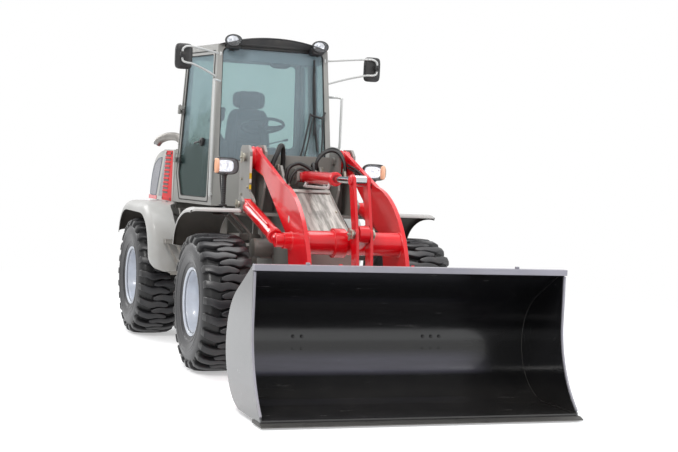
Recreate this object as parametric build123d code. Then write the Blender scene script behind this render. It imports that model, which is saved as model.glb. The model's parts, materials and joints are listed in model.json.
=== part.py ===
from build123d import *
import math
import os

# Compact articulated wheel loader, millimetres, +Z up, front towards -Y.
# Everything is laid out in the machine's own frame: Y = 0 is the steering pivot and Z = 0 is the
# ground. On export the model is shifted along Y so that the origin is at the bottom centre of its box.

# ---------------------------------------------------------------- driving dimensions
WHEELBASE = 2150
TRACK = 1570
TYRE_R = 510
TYRE_W = 396
RIM_R = 229            # bead seat radius of an 18 inch rim
RIM_LIP_R = 254
RIM_LIP_X = 169        # from the wheel's middle plane to its outer lip
RIM_T = 12
DISC_X = 15            # outer face of the wheel disc, from the middle plane
HUB_OUT = 25           # hub's end, from the disc's outer face
HUB_R = 105            # axle hub that passes through the disc
STUD_N = 8
STUD_PCD = 275
STUD_R = 9
STUD_PHASE = 0.5       # of a stud's pitch, the right wheels' turn against the left ones

BUCKET_W = 2130
BUCKET_T = 14          # shell and side plates
LIP_Y, LIP_Z = -2975, 931
EDGE_Y = -3298         # cutting edge
EDGE_Z = 12
CHEEK_Y, CHEEK_Z, CHEEK_R = -2985, 620, 778     # foot of the cheek's upright edge, radius of its curve
BUCKET_BACK_Y = -2460
BUCKET_BACK_Z = 400

REAR_Y = 2100          # back face of the counterweight
CAB_ROOF_Z = 2600

ARM_PIVOT = (-590, 1590)       # (y, z) of each pin, at rest
CYL_BASE = (-780, 1230)
ROD_EYE = (-1610, 1010)
TILT_BASE = (-705, 1457)
BELL_TOP = (-1930, 1460)
BELL_PIVOT = (-2030, 1090)
BELL_FOOT = (-2070, 700)
HITCH_TOP = (-2140, 520)
ARM_TIP = (-2150, 280)
CROSS_TUBE = (-1840, 1015)

ARM_X = 366            # middle plane of each arm plate
ARM_T = 30
LIFT_CYL_X = 470       # middle plane of each lift cylinder
STEER_X = 235          # middle plane of each steering cylinder

PIN_GAP = 0.2          # radial clearance of every hinge pin
SIDE_GAP = 6           # clearance beside eyes, ears and plates
SEAT_GAP = 0.3         # running gap of a piece that is carried at a seat
PANEL_GAP = 6          # gap round doors and lids

MID_Y = (EDGE_Y + REAR_Y) / 2
FRONT_AXLE_Y = -WHEELBASE / 2
REAR_AXLE_Y = WHEELBASE / 2
WHEEL_X = TRACK / 2
PARTS = "parts"


# ---------------------------------------------------------------- helpers
def block(x0, x1, y0, y1, z0, z1):
    """A box between two corners."""
    size = (abs(x1 - x0), abs(y1 - y0), abs(z1 - z0))
    return Pos((x0 + x1) / 2, (y0 + y1) / 2, (z0 + z1) / 2) * Box(*size)


def bar(start, end, radius):
    """A round bar between two points."""
    a, b = Vector(*start), Vector(*end)
    run = b - a
    return extrude(Plane(origin=a, z_dir=run) * Circle(radius), run.length)


def cross_bar(x0, x1, yz, radius):
    """A round bar along X."""
    return bar((x0, yz[0], yz[1]), (x1, yz[0], yz[1]), radius)


def side_plate(points, x0, x1):
    """A flat plate seen from the side: its (y, z) outline carried from x0 to x1."""
    face = Plane.YZ * make_face(Polyline(*points, close=True))
    return Pos(min(x0, x1), 0, 0) * extrude(face, abs(x1 - x0), dir=(1, 0, 0))


def plan_plate(points, z0, z1):
    """A flat plate seen from above: its (x, y) outline carried from z0 to z1."""
    face = make_face(Polyline(*points, close=True))
    return Pos(0, 0, z0) * extrude(face, z1 - z0)


def capsule_plate(a, b, half, x0, x1):
    """A link seen from the side: a strip with round ends about two pins."""
    ay, az, by, bz = *a, *b
    run = math.hypot(by - ay, bz - az)
    ny, nz = -(bz - az) / run * half, (by - ay) / run * half
    strip = side_plate([(ay + ny, az + nz), (by + ny, bz + nz), (by - ny, bz - nz), (ay - ny, az - nz)], x0, x1)
    return strip + cross_bar(x0, x1, a, half) + cross_bar(x0, x1, b, half)


def tube(points, radius, bends):
    """A bent round tube."""
    path = FilletPolyline(*points, radius=bends) if len(points) > 2 else Polyline(*points)
    start = Plane(origin=points[0], z_dir=Vector(*points[1]) - Vector(*points[0]))
    return sweep(start * Circle(radius), path=path)


def mirrored(shape):
    """The same shape on the other side of the machine."""
    return mirror(shape, about=Plane.YZ)


def both(shape):
    """A shape and its mirror image."""
    return [shape, mirrored(shape)]


NODES = {}


def keep(name, *shapes):
    """Store a node's solids, checked to be separate solids."""
    solids = []
    for shape in shapes:
        solids += shape.solids() if hasattr(shape, "solids") else [s for p in shape for s in p.solids()]
    NODES[name] = solids


def toward(a, b, distance):
    """The point that lies a distance from a on the way to b, both (y, z)."""
    run = math.hypot(b[0] - a[0], b[1] - a[1])
    return (a[0] + (b[0] - a[0]) * distance / run, a[1] + (b[1] - a[1]) * distance / run)


# ---------------------------------------------------------------- wheels and axles
def wheel_ring(profile, side, y):
    """A ring turned about a wheel's axle from (x from the middle plane, radius) points, x outboard."""
    points = [(side * x, r) for x, r in profile]
    face = make_face(Polyline(*points, close=True))
    return Pos(side * WHEEL_X, y, TYRE_R) * revolve(face, axis=Axis.X)


def tyre(side, y):
    """A tyre with its beads on the rim; its tread blocks end at the same radius."""
    half = TYRE_W / 2
    seat = RIM_R + SEAT_GAP
    bead = RIM_LIP_X - 10 - SEAT_GAP
    outer = [(bead, seat), (bead, RIM_LIP_R + 4), (half - 10, 330), (half, 390), (half - 4, 450)]
    outer += [(half - 22, 488), (half - 60, TYRE_R - 4), (half - 120, TYRE_R)]
    inner = [(half - 95, TYRE_R - 42), (half - 50, 450), (half - 28, 390), (half - 34, 330), (half - 58, 262)]
    inner += [(half - 66, seat)]
    ring = outer + [(-x, r) for x, r in reversed(outer)]
    hollow = [(-x, r) for x, r in reversed(inner)] + inner
    return wheel_ring(ring + hollow, side, y)


def rim(side, y):
    """A rim with its disc, hub drum and studs; the drum is bored for the axle's spindle."""
    r_in = RIM_R - RIM_T
    lip = RIM_LIP_X
    profile = [(-lip, r_in), (-lip, RIM_LIP_R), (-lip + 10, RIM_LIP_R), (-lip + 10, RIM_R), (lip - 10, RIM_R)]
    profile += [(lip - 10, RIM_LIP_R), (lip, RIM_LIP_R), (lip, r_in), (DISC_X + 25, r_in)]
    profile += [(DISC_X, 190), (DISC_X, HUB_R), (DISC_X + HUB_OUT, HUB_R - 8), (DISC_X + HUB_OUT, 0)]
    profile += [(SPINDLE_END + 2, 0)]
    profile += [(SPINDLE_END + 2, SPINDLE_R + PIN_GAP), (HUB_IN, SPINDLE_R + PIN_GAP), (HUB_IN, HUB_R)]
    profile += [(DISC_X - 14, HUB_R), (DISC_X - 14, 186), (DISC_X + 8, r_in)]
    body = wheel_ring(profile, side, y)
    for i in range(STUD_N):
        turn = 2 * math.pi * (i + STUD_PHASE * (side < 0)) / STUD_N
        sy = y + STUD_PCD / 2 * math.cos(turn)
        sz = TYRE_R + STUD_PCD / 2 * math.sin(turn)
        x0 = side * (WHEEL_X + DISC_X - 4)
        x1 = side * (WHEEL_X + DISC_X + 28)
        body += bar((x0, sy, sz), (x1, sy, sz), STUD_R)
    return body


SPINDLE_R = 55
SPINDLE_END = 22
HUB_IN = -100          # inner face of the hub drum, from the wheel's middle plane
FLANGE_X = WHEEL_X + HUB_IN - 6
AXLE_TUBE_R = 68
FRAME_BOTTOM = 610


def axle(y, diff_y, pad_x):
    """A rigid axle: housing, two tubes, flanges, spindles and the pads that carry the frame."""
    body = cross_bar(-FLANGE_X, FLANGE_X, (y, TYRE_R), AXLE_TUBE_R)
    body += cross_bar(-230, 230, (y, TYRE_R), 96)
    body += bar((0, y - 150, TYRE_R), (0, y + 150, TYRE_R), 145)
    body += bar((0, y, TYRE_R), (0, y + diff_y, TYRE_R), 60)
    body += cross_bar(-WHEEL_X - SPINDLE_END, WHEEL_X + SPINDLE_END, (y, TYRE_R), SPINDLE_R)
    for side in (-1, 1):
        body += cross_bar(side * (FLANGE_X - 60), side * FLANGE_X, (y, TYRE_R), 125)
        body += block(side * (pad_x - 35), side * (pad_x + 35), y - 80, y + 80, TYRE_R, FRAME_BOTTOM)
    return body


# ---------------------------------------------------------------- front frame
SPINE_X = 170          # outer face of the spine's side plates
CLEVIS_IN = (296, 316)         # inner clevis plate, from and to, in |x|
CLEVIS_OUT = (416, 436)
BOSS_HALF = (CLEVIS_OUT[0] - CLEVIS_IN[1]) / 2 - SIDE_GAP
BOSS_X = (CLEVIS_OUT[0] + CLEVIS_IN[1]) / 2
FRONT_BULK = (-480, -460)
COVER_TOP = (-840, 1345)
COVER_FOOT = (-1330, 1045)
JOINT_Z = (430, 900)
LUG_T = 40
LUG_R = 80
JOINT_PIN_R = 30
ARM_PIN_R = 32
CYL_PIN_R = 22
EYE_HALF = 28          # half width of the lift cylinders' eyes
BELL_IN = 42           # inner face of the bellcrank's plates, in |x|
BELL_T = 20
BELL_OUT = BELL_IN + BELL_T
TILT_EYE = BELL_IN - SEAT_GAP      # half width of the eyes that run between those plates


def front_frame():
    """Spine, bulkhead, clevis towers, cylinder brackets and the steering lugs."""
    outline = [(-470, 1540), (-640, 1540), (-760, 1400), COVER_TOP, COVER_FOOT, (-1420, 930), (-1420, 680)]
    outline += [(-1330, FRAME_BOTTOM), (-760, FRAME_BOTTOM), (-640, 380), (-470, 380)]
    body = block(-CLEVIS_OUT[1], CLEVIS_OUT[1], *FRONT_BULK, 1160, 1620)
    body += block(-320, 320, *FRONT_BULK, 380, 1180)
    body += block(-SPINE_X, SPINE_X, -1420, -1400, 690, 925)
    tower = [(-465, 1180), (-465, 1640), (-500, 1690), (-650, 1690), (-700, 1640), (-700, 1360), (-620, 1180)]
    outer = [(-430, 1165), (-430, 1650), (-470, 1685), (-640, 1685), (-695, 1635), (-700, 1330), (-790, 1290)]
    outer += [(-838, 1255), (-838, 1195), (-800, 1165)]
    ear = [(-660, 1165), (-735, 1285), (-790, 1290), (-838, 1255), (-838, 1195), (-800, 1165)]
    for side in (-1, 1):
        body += side_plate(outline, side * (SPINE_X - 20), side * SPINE_X)
        body += side_plate(tower, side * CLEVIS_IN[0], side * CLEVIS_IN[1])
        body += side_plate(outer, side * CLEVIS_OUT[0], side * CLEVIS_OUT[1])
        ear_in = LIFT_CYL_X + EYE_HALF + SIDE_GAP
        body += side_plate(ear, side * ear_in, side * (ear_in + 20))
        body += block(side * 150, side * (ear_in + 20), -800, -460, 1145, 1165)
        body += cross_bar(side * (CLEVIS_OUT[0] - 4), side * (ear_in + 30), CYL_BASE, CYL_PIN_R)
        body += cross_bar(side * (CLEVIS_IN[0] - 20), side * (CLEVIS_OUT[1] + 14), ARM_PIVOT, ARM_PIN_R)
        tilt_ear = [(-470, 1520), (-690, 1520), (-755, 1500), (-765, 1430), (-720, 1395), (-470, 1370)]
        body += side_plate(tilt_ear, side * 46, side * 66)
    body += cross_bar(-76, 76, TILT_BASE, CYL_PIN_R)
    for z in JOINT_Z:
        nose = [(-LUG_R, 0), (LUG_R, 0), (200, -470), (-200, -470)]
        lug = plan_plate(nose, z - LUG_T / 2, z + LUG_T / 2)
        lug += bar((0, 0, z - LUG_T / 2), (0, 0, z + LUG_T / 2), LUG_R)
        body += lug
        body -= bar((0, 0, z - LUG_T), (0, 0, z + LUG_T), JOINT_PIN_R + PIN_GAP)
    for side in (-1, 1):
        for z0 in (STEER_Z - 52, STEER_Z + 32):
            body += block(side * (STEER_X - 32), side * (STEER_X + 32), -465, STEER_FRONT_Y + 32, z0, z0 + 20)
        body += bar((side * STEER_X, STEER_FRONT_Y, STEER_Z - 60), (side * STEER_X, STEER_FRONT_Y, STEER_Z - 33), 16)
    return body


STEER_Z = 600
STEER_FRONT_Y = -380
STEER_REAR_Y = 420


def front_cover():
    """The sloped sheet on the spine, with its down-turned side flanges inside the plates."""
    (y0, z0), (y1, z1) = COVER_TOP, COVER_FOOT
    sheet = side_plate([(y0, z0), (y0, z0 + 8), (y1 - 6, z1 + 8), (y1, z1)], -SPINE_X - 6, SPINE_X + 6)
    return sheet


HOSE_R = 13
HOSES = (
    # x, height of the top of the arc, y of the foot on the cover
    (100, 1716, -900),
    (134, 1690, -930),
    (-100, 1700, -915),
    (-134, 1728, -880),
)


def cover_z(y):
    """Height of the front cover's upper face at y."""
    (y0, z0), (y1, z1) = COVER_TOP, COVER_FOOT
    return z0 + 8 + (y - y0) * (z1 - z0) / (y1 - 6 - y0)


def hydraulic_hose(x, top, foot):
    """A hose from the bulkhead, up over the valves and down to the cover, held at both ends."""
    start = FRONT_BULK[0] - SEAT_GAP
    points = [(x, start, 1500), (x, start - 70, 1500), (x, start - 110, top), (x, foot + 60, top)]
    points += [(x, foot, 1480), (x, foot, cover_z(foot + HOSE_R) + SEAT_GAP)]
    return tube(points, HOSE_R, 45)


FENDER_X = (600, 978)  # inner and outer edge of every fender, in |x|
FENDER_T = 6


def sheet_path(points, t):
    """A sheet's (y, z) outline: its outer line and the same line moved inward by t."""
    inner = []
    for i, (y, z) in enumerate(points):
        a = points[max(i - 1, 0)]
        b = points[min(i + 1, len(points) - 1)]
        run = math.hypot(b[0] - a[0], b[1] - a[1])
        inner.append((y - (b[1] - a[1]) / run * t, z + (b[0] - a[0]) / run * t))
    return points + inner[::-1]


def arc_points(centre, radius, start, end, n):
    """Points on an arc, angles in degrees from +Y towards +Z."""
    turns = [math.radians(start + (end - start) * i / (n - 1)) for i in range(n)]
    return [(centre[0] + radius * math.cos(a), centre[1] + radius * math.sin(a)) for a in turns]


def front_fender():
    """A front fender: a flat top, a short front lip and a curve down behind the tyre."""
    line = [(-492, 880)] + arc_points((-800, 900), 305, 0, 90, 9) + [(-1080, 1205), (-1092, 1165)]
    sheet = side_plate(sheet_path(line, FENDER_T), *FENDER_X)
    bracket = block(524 + SEAT_GAP, 640, -640, -590, 1145, 1193)
    return sheet + bracket


def headlamp():
    """A headlamp box on its stalk, carried by the front fender."""
    body = block(525, 705, -690, -580, 1455, 1575)
    body += bar((620, -620, 1193 + SEAT_GAP), (620, -620, 1460), 22)
    return body


# ---------------------------------------------------------------- arm, linkage and cylinders
def lift_arm():
    """Two arm plates, the cross tube and the bellcrank's bracket, welded into one piece."""
    with BuildLine() as outline:
        Line((-640, 1670), (-1370, 1412))
        ThreePointArc((-1370, 1412), (-1800, 1200), (-2000, 870))
        Line((-2000, 870), (-2005, 527))
        Line((-2005, 527), (-2201, 331))
        Line((-2201, 331), (-2099, 229))
        Line((-2099, 229), (-1690, 640))
        ThreePointArc((-1690, 640), (-1585, 830), (-1530, 1030))
        Line((-1530, 1030), (-880, 1455))
        Line((-880, 1455), (-620, 1508))
        Line((-620, 1508), (-640, 1670))
    plate = Plane.YZ * make_face(Wire(outline.edges()))
    plate = Pos(ARM_X - ARM_T / 2, 0, 0) * extrude(plate, ARM_T, dir=(1, 0, 0))
    plate += cross_bar(BOSS_X - BOSS_HALF, BOSS_X + BOSS_HALF, ARM_PIVOT, 84)
    plate += cross_bar(ARM_X - 25, ARM_X + 25, ARM_TIP, 72)
    plate += cross_bar(ARM_X, LIFT_CYL_X - EYE_HALF - SEAT_GAP, ROD_EYE, 58)
    body = plate + mirrored(plate)
    body += cross_bar(-ARM_X, ARM_X, CROSS_TUBE, 84)
    body += cross_bar(-150, -BELL_OUT - SIDE_GAP, CROSS_TUBE, 104)
    body += capsule_plate(BELL_PIVOT, CROSS_TUBE, 62, -BELL_IN + SIDE_GAP, BELL_IN - SIDE_GAP)
    body -= cross_bar(-500, 500, ARM_PIVOT, ARM_PIN_R + PIN_GAP)
    body -= cross_bar(-500, 500, ARM_TIP, TIP_PIN_R + PIN_GAP)
    body -= cross_bar(-50, 50, BELL_PIVOT, BELL_PIN_R + PIN_GAP)
    return body


TIP_PIN_R = 25
TIP_SHAFT_R = 50
BELL_PIN_R = 28
HITCH_EAR_IN = ARM_X - 25 - SIDE_GAP
HITCH_EAR_OUT = ARM_X + 25 + SIDE_GAP
EAR_T = 22


def tip_shaft():
    """The cross shaft between the arm tips, with the two pins that carry the quick hitch."""
    end = HITCH_EAR_IN - EAR_T - SIDE_GAP
    shaft = cross_bar(-end, end, ARM_TIP, TIP_SHAFT_R)
    pin_end = HITCH_EAR_OUT + EAR_T + 6
    return shaft + cross_bar(-pin_end, pin_end, ARM_TIP, TIP_PIN_R)


def bellcrank():
    """Two straight plates with the pin bosses outside them and the foot pin between them."""
    plate = capsule_plate(BELL_TOP, BELL_PIVOT, 42, BELL_IN, BELL_OUT)
    plate += capsule_plate(BELL_PIVOT, BELL_FOOT, 50, BELL_IN, BELL_OUT)
    plate += cross_bar(BELL_OUT, BELL_OUT + 12, BELL_TOP, 34)
    plate -= cross_bar(0, 100, BELL_PIVOT, BELL_PIN_R + PIN_GAP)
    body = plate + mirrored(plate)
    return body + cross_bar(-BELL_OUT - 10, BELL_OUT + 10, BELL_FOOT, CYL_PIN_R)


def tilt_link():
    """The short link from the bellcrank's foot to the hitch."""
    body = capsule_plate(BELL_FOOT, HITCH_TOP, 36, -BELL_IN + SIDE_GAP, BELL_IN - SIDE_GAP)
    body += cross_bar(-TILT_EYE, TILT_EYE, HITCH_TOP, 36)
    return body - cross_bar(-100, 100, BELL_FOOT, CYL_PIN_R + PIN_GAP)


def barrel(x, base, eye, length, radius, bore, rod_r, eye_half, pin_r):
    """A cylinder's barrel lying along base to eye: rear eye, bored tube and gland."""
    start = toward(base, eye, radius + 26)
    end = toward(base, eye, length)
    gland = toward(base, eye, length - 45)
    inner = toward(base, eye, radius + 42)
    past = toward(base, eye, length + 10)
    body = bar((x, *start), (x, *end), radius)
    body += cross_bar(x - eye_half, x + eye_half, base, radius - 8)
    body += bar((x, *base), (x, *toward(base, eye, radius + 30)), eye_half)
    body -= bar((x, *inner), (x, *gland), bore)
    body -= bar((x, *inner), (x, *past), rod_r + PIN_GAP)
    return body - cross_bar(x - 200, x + 200, base, pin_r + PIN_GAP)


def rod(x, base, eye, tail, rod_r, bore, eye_half, eye_r):
    """A piston rod with its piston and its eye, which runs beside the plate that it drives."""
    start = toward(base, eye, tail)
    piston = toward(base, eye, tail + 40)
    body = bar((x, *start), (x, *eye), rod_r)
    body += bar((x, *start), (x, *piston), bore - 0.5)
    return body + cross_bar(x - eye_half, x + eye_half, eye, eye_r)


LIFT_CYL = dict(radius=52, bore=42, rod_r=28)
LIFT_BARREL_L = 770
TILT_CYL = dict(radius=48, bore=38, rod_r=24)
TILT_BARREL_L = 751
STEER_CYL = dict(radius=30, bore=22, rod_r=15)
STEER_BARREL_L = 560


def lift_barrel():
    return barrel(LIFT_CYL_X, CYL_BASE, ROD_EYE, LIFT_BARREL_L, eye_half=EYE_HALF, pin_r=CYL_PIN_R, **LIFT_CYL)


def lift_rod():
    return rod(LIFT_CYL_X, CYL_BASE, ROD_EYE, 120, LIFT_CYL["rod_r"], LIFT_CYL["bore"], EYE_HALF, 46)


def tilt_barrel():
    return barrel(0, TILT_BASE, BELL_TOP, TILT_BARREL_L, eye_half=40, pin_r=CYL_PIN_R, **TILT_CYL)


def tilt_rod():
    return rod(0, TILT_BASE, BELL_TOP, 290, TILT_CYL["rod_r"], TILT_CYL["bore"], TILT_EYE, 38)


def steer_barrel(side):
    """A steering cylinder's barrel, hinged on the rear frame."""
    x = side * STEER_X
    y0, y1 = STEER_REAR_Y, STEER_REAR_Y - STEER_BARREL_L
    r, bore, rod_r = STEER_CYL["radius"], STEER_CYL["bore"], STEER_CYL["rod_r"]
    body = bar((x, y0 - r - 12, STEER_Z), (x, y1, STEER_Z), r)
    body += bar((x, y0, STEER_Z), (x, y0 - r - 20, STEER_Z), 22)
    body += bar((x, y0, STEER_Z - 25), (x, y0, STEER_Z + 25), 30)
    body -= bar((x, y0 - r - 30, STEER_Z), (x, y1 + 40, STEER_Z), bore)
    body -= bar((x, y0 - r - 30, STEER_Z), (x, y1 - 10, STEER_Z), rod_r + PIN_GAP)
    return body - bar((x, y0, STEER_Z - 60), (x, y0, STEER_Z + 60), 16 + PIN_GAP)


def steer_rod(side):
    """A steering cylinder's rod; its eye runs between the front frame's ears."""
    x = side * STEER_X
    tail = STEER_REAR_Y - STEER_CYL["radius"] - 220
    body = bar((x, tail, STEER_Z), (x, STEER_FRONT_Y, STEER_Z), STEER_CYL["rod_r"])
    body += bar((x, tail, STEER_Z), (x, tail - 30, STEER_Z), STEER_CYL["bore"] - 0.5)
    half = 32 - SEAT_GAP
    return body + bar((x, STEER_FRONT_Y, STEER_Z - half), (x, STEER_FRONT_Y, STEER_Z + half), 26)


# ---------------------------------------------------------------- hitch and bucket
HITCH_FACE_Y = (-2296, -2276)
HITCH_TOP_Z = 560
BRACKET_Y = -2296 - SEAT_GAP


def quick_hitch():
    """Front plate, ears at the arm tips, centre ears for the link and the two top hooks."""
    body = block(-420, 420, *HITCH_FACE_Y, 190, HITCH_TOP_Z)
    body -= block(-BELL_IN - 6, BELL_IN + 6, *HITCH_FACE_Y, 320, HITCH_TOP_Z)
    ear = [(-2280, 200), (-2280, 500), (-2180, 345), (-2090, 310), (-2090, 240), (-2140, 212)]
    centre = [(-2280, 380), (-2280, 555), (-2150, 566), (-2100, 545), (-2094, 500), (-2120, 470)]
    hook = [(-2280, 480), (-2280, 880), (-2330, 905), (-2345, 880), (-2300, 850), (-2300, 480)]
    for side in (-1, 1):
        for x0, x1 in ((HITCH_EAR_IN - EAR_T, HITCH_EAR_IN), (HITCH_EAR_OUT, HITCH_EAR_OUT + EAR_T)):
            plate = side_plate(ear, side * x0, side * x1)
            body += plate + cross_bar(side * x0, side * x1, ARM_TIP, 60)
        body += side_plate(centre, side * (BELL_IN + 6), side * (BELL_OUT + 6))
        body += cross_bar(side * BELL_IN, side * (BELL_OUT + 16), HITCH_TOP, 40)
        body += side_plate(hook, side * 250, side * 272)
        body -= cross_bar(side * 300, side * 460, ARM_TIP, TIP_PIN_R + PIN_GAP)
    return body


FLOOR_Z = EDGE_Z + 20 + BUCKET_T       # top of the bucket's floor
FLOOR_FRONT = EDGE_Y + 60


def bucket_room():
    """The bucket's inside seen from the side, from the top lip round the back to the floor's front."""
    with BuildLine() as line:
        Line((LIP_Y, LIP_Z), (-2640, 738))
        ThreePointArc((-2640, 738), (BUCKET_BACK_Y, BUCKET_BACK_Z), (-2690, 72))
        Line((-2690, 72), (-2780, FLOOR_Z))
        Line((-2780, FLOOR_Z), (FLOOR_FRONT, FLOOR_Z))
        Line((FLOOR_FRONT, FLOOR_Z), (LIP_Y, LIP_Z))
    return Plane.YZ * make_face(Wire(line.edges()))


def across(face, x0, x1):
    """A side view's face carried from x0 to x1."""
    return Pos(x0, 0, 0) * extrude(face, x1 - x0, dir=(1, 0, 0))


def bucket():
    """Shell, side plates, lip bar and the back brackets that hang on the quick hitch."""
    half = BUCKET_W / 2
    room = bucket_room()
    grown = offset(room, BUCKET_T, kind=Kind.INTERSECTION)
    sweep = math.degrees(math.asin((CHEEK_Z - FLOOR_Z) / CHEEK_R))
    mouth = [(LIP_Y, 1100), (LIP_Y, LIP_Z)] + arc_points((CHEEK_Y - CHEEK_R, CHEEK_Z), CHEEK_R, 0, -sweep, 8)
    mouth += [(FLOOR_FRONT, -100), (-4000, -100), (-4000, 1100)]
    shell = across(grown, -half, half) - across(room, -half, half) - side_plate(mouth, -half - 5, half + 5)
    cheek = across(grown, half - BUCKET_T, half)
    cheek -= side_plate([(-3500, -50), (-3500, FLOOR_Z - BUCKET_T), (-2400, FLOOR_Z - BUCKET_T), (-2400, -50)], 0, half + 5)
    cheek -= side_plate(mouth, 0, half + 5)
    body = shell + cheek + mirrored(cheek)
    body += block(-half, half, LIP_Y - 34, LIP_Y + 16, LIP_Z - 20, LIP_Z + 14)
    rear = [(BRACKET_Y, 205), (BRACKET_Y, 840), (-2420, 860), (-2640, 740), (-2600, 400), (-2560, 190)]
    keep_out = across(room, -half, half)
    for side in (-1, 1):
        for x0 in (205, 300):
            ear = side_plate(rear, side * x0, side * (x0 + 30)) - keep_out
            body += max(ear.solids(), key=lambda s: s.volume)
    return body


def cutting_edge():
    """The bolt-on plate under the floor's front edge."""
    half = BUCKET_W / 2 + 8
    points = [(EDGE_Y + 190, EDGE_Z), (EDGE_Y + 190, EDGE_Z + 20), (EDGE_Y + 40, EDGE_Z + 20), (EDGE_Y, EDGE_Z + 6)]
    points += [(EDGE_Y, EDGE_Z)]
    return side_plate(points, -half, half)


# ---------------------------------------------------------------- rear frame and body
REAR_PLATE_X = 325     # outer face of the rear frame's side plates
DECK_Z = 1152          # top of the rear frame, under the cab and hood
DECK_T = 12
CW_Y = 1860            # front face of the counterweight


def rear_frame():
    """Two side plates, deck, cross members, the steering clevis and its two pins."""
    outline = [(330, 380), (330, DECK_Z - DECK_T), (CW_Y, DECK_Z - DECK_T), (CW_Y, 600), (1560, FRAME_BOTTOM)]
    outline += [(600, FRAME_BOTTOM), (520, 420)]
    body = block(-REAR_PLATE_X, REAR_PLATE_X, 330, COWL_Y, DECK_Z - DECK_T, DECK_Z)
    for side in (-1, 1):
        body += side_plate(outline, side * (REAR_PLATE_X - 25), side * REAR_PLATE_X)
        body += block(side * 310, side * 560, 250, 560, DECK_Z - DECK_T, DECK_Z)
    body += block(-310, 310, 560, 580, 620, DECK_Z - 5)
    body += block(-310, 310, 1150, CW_Y, 665, 685)
    for z in JOINT_Z:
        for z0 in (z - LUG_T / 2 - SIDE_GAP - 24, z + LUG_T / 2 + SIDE_GAP):
            fork = plan_plate([(-LUG_R, 0), (LUG_R, 0), (310, 345), (310, 470), (-310, 470), (-310, 345)], z0, z0 + 24)
            body += fork + bar((0, 0, z0), (0, 0, z0 + 24), LUG_R)
        body += bar((0, 0, z - 58), (0, 0, z + 58), JOINT_PIN_R)
    for side in (-1, 1):
        for z0 in (STEER_Z - 52, STEER_Z + 32):
            body += block(side * (STEER_X - 34), side * 310, STEER_REAR_Y - 34, STEER_REAR_Y + 34, z0, z0 + 20)
        body += bar((side * STEER_X, STEER_REAR_Y, STEER_Z - 60), (side * STEER_X, STEER_REAR_Y, STEER_Z + 60), 16)
    for side in (-1, 1):
        for y0 in (380, 960):
            body += block(side * 240, side * 310, y0, y0 + 90, DECK_Z, CAB_Z0)
    body += block(-594, 594, COWL_Y - 8, COWL_Y + 40, DECK_Z - DECK_T, SEAM[1][1] - SEAT_GAP)
    return body


def counterweight():
    """The cast counterweight with its tow pin's slot at the back."""
    outline = [(-610, CW_Y), (610, CW_Y), (610, REAR_Y - 130), (480, REAR_Y - 30), (300, REAR_Y), (-300, REAR_Y)]
    outline += [(-480, REAR_Y - 30), (-610, REAR_Y - 130)]
    body = plan_plate(outline, CW_Z0, DECK_Z)
    body -= block(-90, 90, REAR_Y - 120, REAR_Y + 10, TOW_Z[0], TOW_Z[1])
    bridge = TOW_Z[1] + TOW_BRIDGE
    body -= block(-70, 70, REAR_Y - 110, REAR_Y + 10, bridge, bridge + 260)
    body -= bar((0, REAR_Y - 60, CW_Z0 - 5), (0, REAR_Y - 60, bridge + 5), TOW_PIN_R)
    return body - block(-200, 200, CW_Y - 10, CW_Y + 60, 640, 1100)


CW_Z0 = 560
TOW_Z = (640, 720)     # the tow slot
TOW_BRIDGE = 70        # metal above the slot, below the open pocket that takes the pin's head
TOW_PIN_R = 16


def engine_block():
    """The engine as one plain block on its cross plate."""
    return block(-ENGINE_X, ENGINE_X, 1170, 1800, 685, 1330)


ENGINE_X = 240
HOOD_X = 600
HOOD_T = 6
COWL_Y = 1112
SEAM = ((1500, 1632), (1742, 1162))    # (y, z) of the seam between cowl and hood
HOOD_REAR = [(1520, 1632), (1860, 1575), (2010, 1440), (2078, 1162)]
HOOD_HINGE = (1490, 1652)


def shell_of(outline, half, t, inner):
    """A sheet box: the outline over the full width less the inner outline, t narrower each side."""
    return side_plate(outline, -half, half) - side_plate(inner, -half + t, half - t)


def engine_cowl():
    """The fixed part of the hood behind the cab, with the side louvres' openings."""
    (ys, zs), (yb, zb) = SEAM
    outline = [(COWL_Y, zb), (COWL_Y, zs), (ys, zs), (yb, zb)]
    t = HOOD_T
    inner = [(COWL_Y + t, zb - 5), (COWL_Y + t, zs - t), (ys + 40, zs - t), (yb + 60, zb - 5)]
    body = shell_of(outline, HOOD_X, t, inner)
    y0, y1 = COWL_Y + 40, ys - 40
    window = [(y0, zb + 40), (y0, zs - 60), (y1, zs - 60), (yb - 70, zb + 40)]
    body -= side_plate(window, -HOOD_X - 5, -HOOD_X + t + 5)
    body -= side_plate(window, HOOD_X - t - 5, HOOD_X + 5)
    body -= bar((EXHAUST_X, EXHAUST_Y, zs - 60), (EXHAUST_X, EXHAUST_Y, zs + 60), EXHAUST_R + 8)
    return body


EXHAUST_X, EXHAUST_Y, EXHAUST_R = -500, 1222, 38


def side_louvres():
    """The louvred panels that fill the cowl's side openings."""
    (ys, zs), (yb, zb) = SEAM
    y0, y1 = COWL_Y + 40 + SEAT_GAP, ys - 40 - SEAT_GAP
    edge = [(y0, zb + 40 + SEAT_GAP), (y0, zs - 60 - SEAT_GAP), (y1, zs - 60 - SEAT_GAP)]
    edge += [(yb - 70 - SEAT_GAP, zb + 40 + SEAT_GAP)]
    panel = side_plate(edge, HOOD_X - 5, HOOD_X - 1)
    return both(panel)


def exhaust_pipe():
    """The stack from the engine out through the cowl, bent to the rear."""
    points = [(-ENGINE_X - SEAT_GAP, EXHAUST_Y, 1180), (EXHAUST_X, EXHAUST_Y, 1180), (EXHAUST_X, EXHAUST_Y, 1735)]
    points += [(EXHAUST_X - 175, EXHAUST_Y + 215, 1712)]
    return tube(points, EXHAUST_R, 80)


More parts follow.
